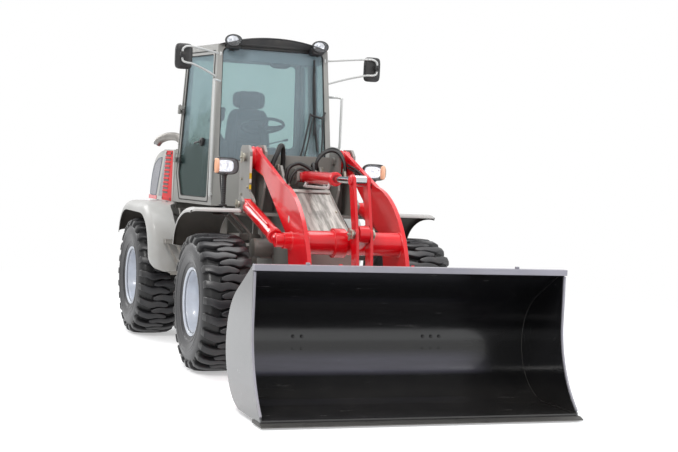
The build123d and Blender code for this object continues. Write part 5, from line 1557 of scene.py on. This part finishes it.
# %% Tower labels and bolts
labels, marks = [], []
for hand in (1, -1):
    x0, x1 = sorted((hand * 0.417, hand * 0.435))
    labels.append(box((x0, -0.7015, 1.470), (x1, -0.6990, 1.600)))
    labels.append(box((x0, -0.7015, 1.395), (x1, -0.6990, 1.425)))
    marks.append(box((x0, -0.7015, 1.425), (x1, -0.6990, 1.470)))
    marks.append(box((x0, -0.7015, 1.345), (x1, -0.6990, 1.380)))
piece("tower_label_strips", labels, "front_body", LABEL_WHITE)
piece("tower_warning_strips", marks, "front_body", LABEL_YELLOW)
bolts = []
for hand in (1, -1):
    for y, z in ((-0.50, 1.20), (-0.50, 1.30), (-0.50, 1.42), (-0.60, 1.20), (-0.66, 1.36)):
        bolts += hex_bolt((hand * 0.436, y, z), (hand, 0, 0), 0.010)
for x in (-0.15, 0.15):
    for t in (0.06, 0.5, 0.94):
        y, z = -0.84 + (-1.33 + 0.84) * t, 1.345 + (1.045 - 1.345) * t
        bolts += hex_bolt((x, y, z + 0.0085), (0, -0.522, 0.853), 0.009, 0.006)
piece("front_frame_bolts", bolts, "front_body", ZINC, smooth=30)
edge = [(-0.845, 1.3550), (-0.845, 1.3640), (-0.875, 1.3455), (-0.875, 1.3365)]
rim = [slab(edge, -0.176, 0.176)]
for hand in (1, -1):
    x0, x1 = sorted((hand * 0.168, hand * 0.176))
    rim.append(slab([(-0.84, 1.353), (-0.84, 1.362), (-1.335, 1.0585), (-1.335, 1.050)], x0, x1))
piece("front_cover_edges", rim, "front_body", COVER_GREY, bevel=0.002)

# %% [markdown]
# ## Weld beads
# Where tubes meet plates a weld runs round: a ring whose radius ripples a little, as each pass of the weld
# leaves a scale. The ripple is a sine wave along the path.

# %% Welds
def rippled(path, sizes, closed):
    """A round bead whose size changes from point to point of its path."""
    _, side, rise = path_frames(path)
    section = circle(1.0, 8)
    across_path = section[None, :, :1] * side[:, None] + section[None, :, 1:] * rise[:, None]
    points = path[:, None] + sizes[:, None, None] * across_path
    return surface(points, wrap_rows=closed, wrap_cols=True, caps=not closed)


def weld_ring(centre, axis, radius, size=0.006):
    ripples = 60
    first, second = frame_at(axis)
    turn = np.linspace(0, 2 * math.pi, ripples * 4, endpoint=False)
    path = np.asarray(centre) + radius * (np.cos(turn)[:, None] * first + np.sin(turn)[:, None] * second)
    return rippled(path, size * (1 + 0.03 * np.sin(turn * ripples)), True)


def weld_line(points, size=0.006, count=120):
    wave = size * (1 + 0.12 * np.sin(np.linspace(0, count * 1.6, count)))
    return rippled(smooth_path(points, count), wave, False)


# x, pin place, radius and size of each weld ring that stands on both sides of the arm
ARM_RINGS = (
    (0.350, CROSS_TUBE, 0.086, 0.007),
    (0.382, ARM_PIVOT, 0.085, 0.006),
    (0.350, ARM_PIVOT, 0.085, 0.006),
    (0.382, ROD_EYE, 0.060, 0.006),
    (0.392, ARM_TIP, 0.060, 0.005),
)
welds = [
    weld_ring((hand * x, *pin), (1, 0, 0), radius, size) for hand in (1, -1) for x, pin, radius,
    size in ARM_RINGS
]
welds.append(weld_ring((-0.150, *CROSS_TUBE), (1, 0, 0), 0.087, 0.007))
welds.append(weld_ring((-0.068, *CROSS_TUBE), (1, 0, 0), 0.088, 0.007))
piece("arm_welds", welds, "lift_arm", RED, smooth=60)
BADGE = [(0.0, 0.0), (0.0, 0.0185), (0.0012, 0.0195), (0.0020, 0.0185), (0.0022, 0.0)]
badges = [turned(BADGE, (hand * 0.381, -1.55, 1.160), (hand, 0, 0), 32) for hand in (1, -1)]
badges = [moved(bit, np.diag([1.0, 0.8, 1.35]), about=(0, -1.55, 1.16)) for bit in badges]
SERVICE_LINE = ((-0.78, 1.545), (-1.00, 1.500), (-1.20, 1.430), (-1.28, 1.400))
runs = [pipe([(0.343, y, z + lift) for y, z in SERVICE_LINE], 0.0075, 8, 50) for lift in (0.0, 0.024)]
runs += [box((0.332, y, z), (0.351, y + 0.03, z + 0.050)) for y, z in ((-0.98, 1.485), (-1.20, 1.412))]
piece("arm_service_lines", runs, "lift_arm", BLACK_RUBBER)
piece("arm_badges_blank", badges, "lift_arm", LABEL_WHITE)

# %% [markdown]
# ## Cylinder details
# Every hydraulic cylinder has a screwed gland at its rod end, ports with elbows, and a bright steel pipe that
# feeds the far end. They ride with the barrels.

# %% Glands, ports and feed pipes
# (along, radius less the barrel's) of a gland nut, a collar with a groove
GLAND = (
    (-0.050, 0.0005), (-0.046, 0.005), (-0.012, 0.005), (-0.009, -0.002), (-0.004, -0.002), (-0.002, 0.002),
    (0.006, 0.001), (0.008, -0.008), (0.0085, -0.016), (0.0015, -0.016), (0.001, -0.004), (-0.050, -0.004)
)
PORT_BLOCK = [(0, 0.0), (0, 0.018), (0.022, 0.018), (0.024, 0.012), (0.030, 0.012), (0.030, 0.0)]


def cylinder_line(x, base, eye):
    """A cylinder's base pin, its rod's pin, and the unit vector from the first to the second."""
    a, b = np.array([x, *base]), np.array([x, *eye])
    return a, b, (b - a) / np.linalg.norm(b - a)


def gland(x, base, eye, at, radius):
    """A gland nut on the cylinder's line."""
    a, _, d = cylinder_line(x, base, eye)
    return turned([(along, radius + more) for along, more in GLAND], a + d * at, d, 40, closed=True)


def feed_line(x, base, eye, start, end, side, reach, radius=0.008):
    """A steel pipe beside a barrel with an elbow and a block at each end."""
    a, _, d = cylinder_line(x, base, eye)
    off = np.array(side, float)
    near, far = a + d * start, a + d * end
    path = [
        near + off * (reach - 0.030), near + off * (reach - 0.004) + d * 0.006,
        near + off * reach + d * 0.04, far + off * reach - d * 0.04,
        far + off * (reach - 0.004) - d * 0.006, far + off * (reach - 0.030)
    ]
    blocks = [turned(PORT_BLOCK, p + off * (reach - 0.052), off, 8) for p in (near, far)]
    return [pipe(path, radius, 10, 60), *blocks]


glands, ports = [], []
for hand in (1, -1):
    glands.append(gland(hand * 0.470, CYL_BASE, ROD_EYE, 0.770, 0.052))
    ports += feed_line(hand * 0.470, CYL_BASE, ROD_EYE, 0.14, 0.69, (hand * 0.55, -0.215, 0.81), 0.077)
sleeve = [
    (0.0, 0.027), (0.0, 0.047), (0.030, 0.046), (0.048, 0.040), (0.061, 0.039), (0.064, 0.036),
    (0.064, 0.027)
]
eye_ring = [
    (-0.0278, 0.040), (-0.0278, 0.0485), (0.0285, 0.0485), (0.0305, 0.0460), (0.0305, 0.024),
    (0.0270, 0.024), (0.0270, 0.040)
]
eyes = []
for hand in (1, -1):
    _, pin, d = cylinder_line(hand * 0.470, CYL_BASE, ROD_EYE)
    eyes.append(turned(sleeve, pin, -d, 32, closed=True))
    eyes.append(turned(eye_ring, pin, (hand, 0, 0), 40, closed=True))
piece("lift_rod_eyes", eyes, "lift_rods", RED, smooth=40)
piece("lift_glands", glands, "lift_barrels", RED, smooth=35)
piece("lift_feed_pipes", ports, "lift_barrels", RED, smooth=45)
piece(
    "tilt_gland", [gland(0.0, TILT_BASE, BELL_TOP, 0.751, 0.048)], "tilt_barrel", RED,
    smooth=35
)
feed = feed_line(0.0, TILT_BASE, BELL_TOP, 0.16, 0.69, (-0.5, 0.0, -0.866), 0.078, 0.011)
piece("tilt_feed_pipe", feed, "tilt_barrel", BRIGHT_TUBE, smooth=45)
stub = pipe(
    [(0.03, -0.86, 1.50), (0.035, -0.85, 1.545), (0.045, -0.80, 1.565), (0.052, -0.76, 1.545)], 0.011, 10,
    20
)
piece("tilt_hose_stubs", [stub], "tilt_barrel", HOSE_RUBBER)

# %% [markdown]
# ## Hood
# The hood is one pressed shell: a side profile carried across, whose two edges roll down onto the flanks.
# The flanks are perforated with holes of painted shade, the louvre strip is red, and the strip's blades are
# small wedges over dark slots, plates of painted shade.

# %% Hood shell
HOOD_TOP = [
    (1.508, 1.632), (1.620, 1.626), (1.740, 1.606), (1.850, 1.570), (1.940, 1.505), (2.005, 1.410),
    (2.045, 1.300), (2.068, 1.220), (2.076, 1.166)
]
half = fender_skin(HOOD_TOP, 0.0, 0.600, 0.050, 0.0, hem=0.0)
shell = sheet_piece("hood_shell", both_sides([half]), "hood", LIGHT_GREY, 0.005)
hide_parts("engine_hood")
line = smooth_path(HOOD_TOP, 40)
inset = line + np.array([-0.035, -0.040]) * np.linspace(0.2, 1, 40)[:, None]
flank = [
    (1.748, 1.166), (1.514, 1.580), *[tuple(p) for p in inset if p[1] > 1.17 and p[0] > 1.52],
    (2.040, 1.166)
]
piece(
    "hood_flanks", both_sides([slab(flank, 0.594, 0.5995)]), "hood", LIGHT_GREY,
    bevel=0.002
)
mesh = [
    (1.768, 1.205), (1.560, 1.560), (1.700, 1.548), (1.840, 1.500), (1.930, 1.420), (1.985, 1.310),
    (2.005, 1.205)
]
piece(
    "hood_mesh_panels", both_sides([slab(mesh, 0.5990, 0.6015)]), "hood", PERFORATED,
    bevel=0.001
)
rim = rounded_loop([(0.6015, *p) for p in mesh], 0.03, 5)
piece("hood_mesh_rims", both_sides([bead(rim, 0.004, 6)]), "hood", TRIM_GREY)
SLAT = [oval(0.40, 0.010, 8, 24), oval(0.395, 0.006, 8, 24)]
slats = []
for y, z in line[19:37:2]:
    slats.append(loft(SLAT, [(0, y - 0.002, z), (0, y + 0.013, z - 0.004)], (1, 0, 0), (0, 0.3, 0.95)))
piece("hood_grille_slats", slats, "hood", DARK_METAL, bevel=0.0015)
latch = [
    loft([oval(0.05, 0.022, 6, 24), oval(0.046, 0.018, 6, 24)], [(0, 2.072, 1.200), (0, 2.083, 1.198)]),
    pipe(
        [(-0.03, 2.080, 1.206), (-0.02, 2.092, 1.204), (0.02, 2.092, 1.204), (0.03, 2.080, 1.206)], 0.004,
        8, 16
    )
]
piece("hood_latch", latch, "hood", BLACK_PLASTIC, bevel=0.001)
trims = [slab([(1.755, 1.164), (1.735, 1.200), (2.062, 1.200), (2.068, 1.164)], 0.5985, 0.6030)]
piece("hood_red_trim", both_sides(trims), "hood", RED, bevel=0.001)

# %% Louvre strip
fill = [(1.155, 1.204), (1.155, 1.570), (1.458, 1.570), (1.668, 1.204)]
strip = [(1.153, 1.172), (1.153, 1.622), (1.400, 1.622), (1.520, 1.172)]
foot = [(1.153, 1.172), (1.520, 1.172), (1.510, 1.204), (1.153, 1.204)]
panels = both_sides([slab(strip, 0.5985, 0.6020), slab(foot, 0.6000, 0.6045)])
SLOTS, SLOT_PITCH, SLOT_LENGTH = 10, 0.037, 0.185
slots, blades = [], []
for i in range(SLOTS):
    z = 1.235 + i * SLOT_PITCH
    y1 = 1.485 - i * 0.0095
    y0 = y1 - SLOT_LENGTH
    slots.append(slab([(y0, z), (y0 + 0.008, z + 0.016), (y1 - 0.008, z + 0.016), (y1, z)], 0.6005, 0.6035))
    blade = [(0.0, 0.0), (0.009, 0.002), (0.010, 0.005), (0.0, 0.013)]
    blades.append(
        prism(blade, (0.6010, y0 - 0.004, z + 0.017), (0, y1 - y0 + 0.008, 0), (1, 0, 0), (0, 0, 1))
    )
strip_piece = piece(
    "louvre_strips", panels + both_sides(blades), "rear_body", RED_PLASTIC, bevel=0.001
)
piece(
    "louvre_fill_panels", both_sides([slab(fill, 0.5945, 0.5985)]), "rear_body", PERFORATED,
    bevel=0.001
)
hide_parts("side_louvres")
# The slots are dark plates of painted shade behind the blades.
piece("louvre_slot_shades", both_sides(slots), "rear_body", DARK_METAL)
bolts = []
for y, z in ((1.185, 1.600), (1.380, 1.600), (1.185, 1.190), (1.490, 1.190)):
    bolts += hex_bolt((0.602, y, z), (1, 0, 0), 0.009, 0.006)
piece("louvre_bolts", both_sides(bolts), "rear_body", DARK_METAL, smooth=30)

# %% [markdown]
# ## Exhaust
# The stack comes up through the hood behind the cab and turns to the rear in one bend. Its end is open, so
# the wall shows as a ring round a dark mouth, a disc of painted shade in place of the pipe's inside.

# %% Exhaust
CLAMP_RING = [
    (-0.004, 0.036), (-0.004, 0.058), (0.004, 0.058), (0.006, 0.040), (0.020, 0.040), (0.020, 0.036)
]
BAND = [(0.0, 0.0365), (0.0, 0.042), (0.016, 0.042), (0.016, 0.0365)]
MOUTH = [(-0.010, 0.0372), (0.010, 0.0385), (0.012, 0.0360), (0.012, 0.0330), (-0.010, 0.0330)]
route = [
    (-0.500, 1.222, 1.560), (-0.500, 1.222, 1.660), (-0.506, 1.230, 1.712), (-0.545, 1.276, 1.748),
    (-0.605, 1.350, 1.748), (-0.655, 1.412, 1.722), (-0.680, 1.440, 1.690)
]
stack = [pipe(route, 0.0370, 28, 60)]
stack.append(turned(CLAMP_RING, (-0.500, 1.222, 1.634), (0, 0, 1), 40, closed=True))
stack.append(turned(BAND, (-0.500, 1.222, 1.672), (0, 0, 1), 40, closed=True))
exhaust = piece("exhaust_stack", stack, "rear_body", EXHAUST_STEEL, smooth=50)
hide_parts("exhaust_pipe")
tip, way = np.array([-0.680, 1.440, 1.690]), np.array([-0.42, 0.50, -0.76])
piece(
    "exhaust_tip_ring", [turned(MOUTH, tip, way, 32, closed=True)], "rear_body", PIN_STEEL,
    smooth=50
)
# A dark disc fills the mouth: painted shade in place of the pipe's inside.
dark = [turned([(0.0, 0.0), (0.0, 0.0335), (0.0035, 0.0335), (0.0035, 0.0)], tip, way, 32)]
dark += [pipe([tip + way * 0.002, tip + way * 0.030 + (-0.012, 0.010, 0.012)], 0.006, 8, 6)]
piece("exhaust_mouth", dark, "rear_body", DARK_METAL)

# %% [markdown]
# ## Back end and steps
# The counterweight is a casting with bolt heads, a blank plate and a towing pin. Each lamp cluster is a dark
# housing with three lenses. The steps are folded treads on diagonal stays.

# %% Tail lamps
houses, reds, ambers, clears = [], [], [], []
for hand in (1, -1):
    x = hand * 0.495
    outlines = [rounded(0.130, 0.120, 0.014)] * 2 + [rounded(0.124, 0.114, 0.012)]
    houses.append(loft(outlines, [(x, y, 1.032) for y in (2.010, 2.050, 2.055)]))
    for bits, offset, width in ((reds, 0.036, 0.038), (ambers, -0.006, 0.034), (clears, -0.042, 0.028)):
        place = x + hand * offset
        shapes = [
            rounded(width, 0.096, 0.006), rounded(width, 0.096, 0.006), rounded(width - 0.006, 0.088, 0.005)
        ]
        bits.append(loft(shapes, [(place, 2.054, 1.032), (place, 2.062, 1.032), (place, 2.066, 1.032)]))
lamps = piece("tail_lamp_housings", houses, "rear_body", BLACK_PLASTIC, bevel=0.002)
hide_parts("tail_lamps")
piece("tail_lenses_red", reds, "rear_body", RED_LENS, bevel=0.0015)
piece("tail_lenses_amber", ambers, "rear_body", AMBER_LENS, bevel=0.0015)
piece("tail_lenses_clear", clears, "rear_body", LABEL_WHITE, bevel=0.0015)

# %% Counterweight, plate and tow pin
bolts = []
for z in (0.64, 0.90):
    bolts += both_sides(hex_bolt((0.27, 2.100, z), (0, 1, 0), 0.017, 0.014))
    bolts += both_sides(hex_bolt((0.56, 2.0085, z), (0.61, 0.793, 0), 0.017, 0.014))
for y in (1.92, 2.02):
    bolts += both_sides(hex_bolt((0.610, y, 1.08), (1, 0, 0), 0.014, 0.010))
piece("counterweight_bolts", bolts, "rear_body", DARK_METAL, smooth=30)
plate = slab([(-0.26, 0.925), (-0.26, 1.035), (0.26, 1.035), (0.26, 0.925)], 2.104, 2.108, axis=1)
piece("number_plate_blank", [plate], "rear_body", LABEL_WHITE, bevel=0.001)
frame_corners = [(x, 2.106, z) for x, z in ((-0.265, 0.920), (-0.265, 1.040), (0.265, 1.040), (0.265, 0.920))]
carrier = slab([(-0.262, 0.923), (-0.262, 1.037), (0.262, 1.037), (0.262, 0.923)], 2.0995, 2.104, axis=1)
back = [bead(rounded_loop(frame_corners, 0.012, 5), 0.0055, 8), carrier]
piece("number_plate_frame", back, "rear_body", BLACK_PLASTIC, bevel=0.001)
TOW_PIN = [
    (-0.02, 0.0), (-0.02, 0.012), (0.0, 0.0155), (0.235, 0.0155), (0.238, 0.026), (0.246, 0.026),
    (0.248, 0.0)
]
pin = [turned(TOW_PIN, (0, 2.04, 0.552), (0, 0, 1), 28)]
pin += [pipe([(0, 2.04, 0.80), (0, 2.04, 0.835), (0.012, 2.05, 0.862), (0.045, 2.07, 0.866)], 0.006, 10, 20)]
piece("tow_pin", pin, "rear_body", PIN_STEEL, smooth=40)
ring_corners = [(0.39, y, z) for y, z in ((2.082, 0.70), (2.128, 0.70), (2.128, 0.80), (2.082, 0.80))]
piece(
    "tie_down_rings", both_sides([bead(rounded_loop(ring_corners, 0.024, 6), 0.010, 10)]), "rear_body",
    ZINC
)
reflector = loft(
    [oval(0.032, 0.032, 2, 28), oval(0.030, 0.030, 2, 28)], [(0.24, 2.099, 1.085), (0.24, 2.105, 1.085)]
)
piece("rear_reflectors", both_sides([reflector]), "rear_body", RED_LENS, smooth=50)

# %% Steps and side boxes
# the low and high corner of every folded sheet of the two steps and their hanger
STEP_SHEETS = (
    ((0.560, 0.236, 0.848), (0.848, 0.326, 0.856)), ((0.560, 0.236, 0.848), (0.848, 0.242, 0.884)),
    ((0.560, 0.320, 0.848), (0.848, 0.326, 0.884)), ((0.560, 0.236, 0.874), (0.848, 0.326, 0.884)),
    ((0.842, 0.236, 0.848), (0.849, 0.326, 0.884)), ((0.590, 0.240, 0.600), (0.800, 0.326, 0.612)),
    ((0.590, 0.236, 0.590), (0.800, 0.242, 0.622)), ((0.558, 0.240, 0.474), (0.568, 0.322, 0.850)),
)
STAY_BAR = [(-0.012, 0), (0.012, 0), (0.012, 0.006), (-0.012, 0.006)]
treads = [box(low, high) for low, high in STEP_SHEETS]
for top, low in (((0.838, 0.850), (0.700, 0.612)), ((0.755, 0.850), (0.640, 0.612))):
    treads.append(prism(STAY_BAR, (top[0], 0.240, top[1]), (low[0] - top[0], 0, low[1] - top[1]), *LEVEL))
steps = piece("step_treads", both_sides(treads), "rear_body", FRAME_GREY, bevel=0.0015)
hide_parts("access_steps")
GRIP_RING = [(0.0, 0.0), (0.0, 0.008), (0.003, 0.007), (0.003, 0.004), (0.0015, 0.0)]
grips = [turned(GRIP_RING, (x, y, 0.884), (0, 0, 1), 10)
         for x in np.arange(0.585, 0.84, 0.032) for y in (0.255, 0.281, 0.307)]
piece("step_grips", both_sides(grips), "rear_body", PIN_STEEL)
# The side box doors take the same darker frame grey: painted shade under the cab.
doors = [slab([(0.285, 0.600), (0.285, 1.100), (0.540, 1.100), (0.540, 0.600)], 0.556, 0.5605)]
piece("side_box_doors", both_sides(doors), "rear_body", FRAME_GREY, bevel=0.002)
BOX_LOCK = [(0.0, 0.0), (0.0, 0.022), (0.006, 0.020), (0.008, 0.008), (0.008, 0.0)]
BOX_HINGE = [(0.0, 0.0), (0.0, 0.009), (0.05, 0.009), (0.05, 0.0)]
locks = [turned(BOX_LOCK, (0.5605, 0.320, z), (1, 0, 0), 20) for z in (0.70, 1.00)]
locks += [turned(BOX_HINGE, (0.560, 0.540, z), (0, 0, 1), 12) for z in (0.68, 0.98)]
piece("side_box_locks", both_sides(locks), "rear_body", ZINC, smooth=35)
FILLER_CAP = [(0.0, 0.0), (0.0, 0.040), (0.014, 0.042), (0.030, 0.040), (0.034, 0.034), (0.034, 0.0)]
piece(
    "tank_filler_cap", [turned(FILLER_CAP, (0.45, 0.40, 1.132), (0, 0, 1), 24)], "rear_body", BLACK_PLASTIC,
    smooth=35
)

# %% [markdown]
# ## Bucket
# The bucket's sheets are welded: one bead runs over the floor behind the cutting edge, and one follows each
# cheek. Small bolt heads and lugs sit where the hooks are, and the lip is a square bar.

# %% Bucket details
def arc_through(a, b, c, count=40):
    """Points on the circle through three flat points, from a past b to c."""
    a, b, c = map(np.array, (a, b, c))
    centre = np.linalg.solve(2 * np.array([b - a, c - a]), [b @ b - a @ a, c @ c - a @ a])
    start, end = (math.atan2(p[1] - centre[1], p[0] - centre[0]) for p in (a, c))
    angle = np.linspace(start, end, count)
    return centre + np.linalg.norm(a - centre) * np.stack([np.cos(angle), np.sin(angle)], axis=1)


welds = [weld_line([(-1.050, -3.112, 0.0325), (0.0, -3.113, 0.0325), (1.050, -3.112, 0.0325)], 0.0045, 300)]
back = arc_through((-2.640, 0.738), (-2.460, 0.400), (-2.690, 0.072))
arc = [
    (-2.960, 0.923), (-2.80, 0.831), *map(tuple, back[::3]), (-2.690, 0.072), (-2.780, 0.047),
    (-3.00, 0.0465), (-3.225, 0.0465)
]
for hand in (1, -1):
    welds.append(weld_line([(hand * 1.0535, y, z) for y, z in arc], 0.0045, 260))
piece("bucket_floor_weld", welds, "bucket_group", WORN_STEEL, smooth=60)
lip = [box((-1.066, -3.0115, 0.9095), (1.066, -2.957, 0.9475))]
piece("bucket_lip_cap", lip, "bucket_group", LIP_GREY, bevel=0.003)
trims, lugs = [], []
front = arc_through((-2.992, 0.620), (-3.0857, 0.250), (-3.230, 0.064), 24)
cheek = [(-2.990, 0.903), (-2.992, 0.760), *map(tuple, front)]
for hand in (1, -1):
    edge = smooth_path([(hand * 1.058, y, z) for y, z in cheek], 60)
    trims.append(swept(edge, rounded(0.014, 0.014, 0.003)))
piece("bucket_edge_trims", trims, "bucket_group", LIP_GREY)
for x in (-0.62, -0.56, 0.30, 0.36, 0.42):
    lugs += hex_bolt((x, -2.4615, 0.36), (0, -1, 0.1), 0.008, 0.005)
    lugs += hex_bolt((x, -2.4635, 0.44), (0, -1, -0.1), 0.008, 0.005)
piece("bucket_back_bolts", lugs, "bucket_group", BUCKET_BLACK, smooth=30)
ears = [box((x - 0.012, -2.992, 0.948), (x + 0.012, -2.972, 0.962)) for x in (-0.72, 0.71)]
piece("bucket_lip_lugs", ears, "bucket_group", LIP_GREY, bevel=0.002)

# %% [markdown]
# ## Seat
# The seat is foam under cloth, so each part starts as a rounded block a little smaller than its space, is
# remeshed evenly and is blown up by the cloth solver. A cap keeps every point near its start. The sewn
# channels come last, as grooves whose depth falls off with the distance from a seam.

# %% Padded forms
PRESSURE, INFLATE_FRAMES = 4.0, 20


def swell(thing, voxel, cap):
    """Remeshes a closed form, inflates it with cloth pressure and limits how far each point moves."""
    remesh = thing.modifiers.new("even", "REMESH")
    remesh.mode = "VOXEL"
    remesh.voxel_size = voxel
    settle(thing)
    cloth = thing.modifiers.new("foam", "CLOTH")
    cloth.settings.quality = 5
    cloth.settings.use_pressure = True
    cloth.settings.uniform_pressure_force = PRESSURE
    cloth.settings.effector_weights.gravity = 0
    scene = bpy.context.scene
    for number in range(1, INFLATE_FRAMES + 1):
        scene.frame_set(number)
    start = points_of(thing.data)
    end = points_of(thing.evaluated_get(bpy.context.evaluated_depsgraph_get()).data)
    thing.modifiers.remove(cloth)
    scene.frame_set(1)
    step = end - start
    length = np.linalg.norm(step, axis=1, keepdims=True)
    put_points(thing.data, start + step * np.minimum(1, cap / np.maximum(length, 1e-9)))


def points_of(mesh):
    flat = np.empty(len(mesh.vertices) * 3, np.float32)
    mesh.vertices.foreach_get("co", flat)
    return flat.reshape(-1, 3).astype(float)


def put_points(mesh, points):
    mesh.vertices.foreach_set("co", points.astype(np.float32).ravel())
    mesh.update()


def settle(thing):
    """Applies the modifiers on a piece by swapping its mesh for the evaluated one."""
    ready = thing.evaluated_get(bpy.context.evaluated_depsgraph_get())
    mesh = bpy.data.meshes.new_from_object(ready)
    mesh.name = thing.name
    thing.modifiers.clear()
    thing.data = mesh


def stitch(thing, seams, depth=0.007, width=0.008):
    """Pulls points in along their normals by depth * exp(-(d / width)^2), d their distance from a seam."""
    mesh = thing.data
    points = points_of(mesh)
    normals = np.empty(len(mesh.vertices) * 3, np.float32)
    mesh.vertex_normals.foreach_get("vector", normals)
    pull = np.zeros(len(points))
    for distance in seams:
        pull = np.maximum(pull, depth * np.exp(-((distance(points - STEER) / width) ** 2)))
    put_points(mesh, points - pull[:, None] * normals.reshape(-1, 3))


def seam_at(axis, place, limit=None):
    """Distance from where an axis has a place; with limit, a seam only where |x| is smaller than it."""
    def distance(points):
        away = points[:, axis] - place
        return away if limit is None else np.where(np.abs(points[:, 0]) < limit, away, 1)
    return distance


def padded_part(name, block, seams, cap, voxel=0.006):
    """One cushion from a rounded block: swollen, stitched and smoothed."""
    thing = piece(name, [block], "rear_body", SEAT_CLOTH, smooth=180)
    swell(thing, voxel, cap)
    stitch(thing, seams)
    thing.data.shade_smooth()
    fine = thing.modifiers.new("smooth", "SUBSURF")
    fine.levels = fine.render_levels = 1
    return thing


# %% Cushion, backrest and headrest
def tapered(low, high, power, taper, crown):
    """A rounded block whose width shrinks by taper towards its top and whose front face bows by crown."""
    points, faces = pillow(low, high, power, 26, 52)
    low, high = np.asarray(low), np.asarray(high)
    rise = (points[:, 2] - low[2]) / (high[2] - low[2])
    points[:, 0] *= 1 - taper * rise**2
    points[:, 1] -= crown * np.sin(np.pi * np.clip(rise, 0, 1)) * (1 - (points[:, 0] / high[0]) ** 2)
    return points, faces


cushion = pillow((-0.232, 0.488, 1.392), (0.232, 0.888, 1.484), 5.0, 26, 56)
seams = [seam_at(0, 0.135), seam_at(0, -0.135), seam_at(2, 1.432), seam_at(1, 0.70, 0.135)]
base = padded_part("seat_cushion", cushion, seams, 0.012)
backrest = tapered((-0.222, 0.846, 1.500), (0.222, 0.924, 2.030), 6.5, 0.20, 0.010)
seams = [lambda p: np.abs(p[:, 0]) - 0.120 + 0.03 * (p[:, 2] - 1.5), seam_at(1, 0.892),
         seam_at(2, 1.72, 0.12), seam_at(2, 1.87, 0.12)]
padded_part("seat_backrest", backrest, seams, 0.010)
headrest = tapered((-0.147, 0.838, 2.016), (0.147, 0.921, 2.182), 3.6, -0.02, 0.006)
padded_part("seat_headrest", headrest, [seam_at(1, 0.885), lambda p: np.abs(p[:, 0]) - 0.095], 0.008)
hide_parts("seat_cushions")

# %% Seat fittings
FOLDS, FOLD_PITCH = 9, 0.0168
folds = []
for i in range(FOLDS):
    z = 1.232 + i * FOLD_PITCH
    folds += [(0.165, 0.125, z), (0.180, 0.138, z + 0.0084)]
bellows = loft([oval(a, b, 6, 48) for a, b, _ in folds], [(0, 0.74, z) for _, _, z in folds], *LEVEL)
plates = [
    box((-0.178, 0.602, 1.209), (0.178, 0.878, 1.230)), box((-0.178, 0.602, 1.372), (0.178, 0.878, 1.3825))
]
column = piece("seat_bellows", [bellows] + plates, "rear_body", BLACK_RUBBER, smooth=25)
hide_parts("seat_pedestal")
SEAT_SHELL = [oval(0.185, 0.235, 5, 36), oval(0.180, 0.230, 5, 36), oval(0.160, 0.21, 5, 36)]
ARMREST = ((0.60, 1.642), (0.70, 1.646), (0.84, 1.650), (0.90, 1.650))
fittings = [loft(SEAT_SHELL, [(0, y, 1.74) for y in (0.927, 0.940, 0.948)])]
for hand in (1, -1):
    fittings.append(loft([oval(0.024, 0.018, 3, 24)] * 4, [(hand * 0.262, y, z) for y, z in ARMREST]))
    fittings.append(
        pipe(
            [(hand * 0.262, 0.88, 1.64), (hand * 0.255, 0.915, 1.62), (hand * 0.225, 0.930, 1.60)], 0.012,
            10, 14
        )
    )
fittings += [pipe([(0.05 * hand, 0.885, 2.00), (0.05 * hand, 0.885, 2.045)], 0.006, 8, 4) for hand in (1, -1)]
fittings.append(box((0.246, 0.66, 1.40), (0.262, 0.70, 1.50)))
fittings.append(pipe([(-0.24, 0.56, 1.40), (-0.262, 0.55, 1.40), (-0.268, 0.50, 1.405)], 0.007, 8, 12))
piece("seat_fittings", fittings, "rear_body", BLACK_PLASTIC, bevel=0.002, smooth=45)
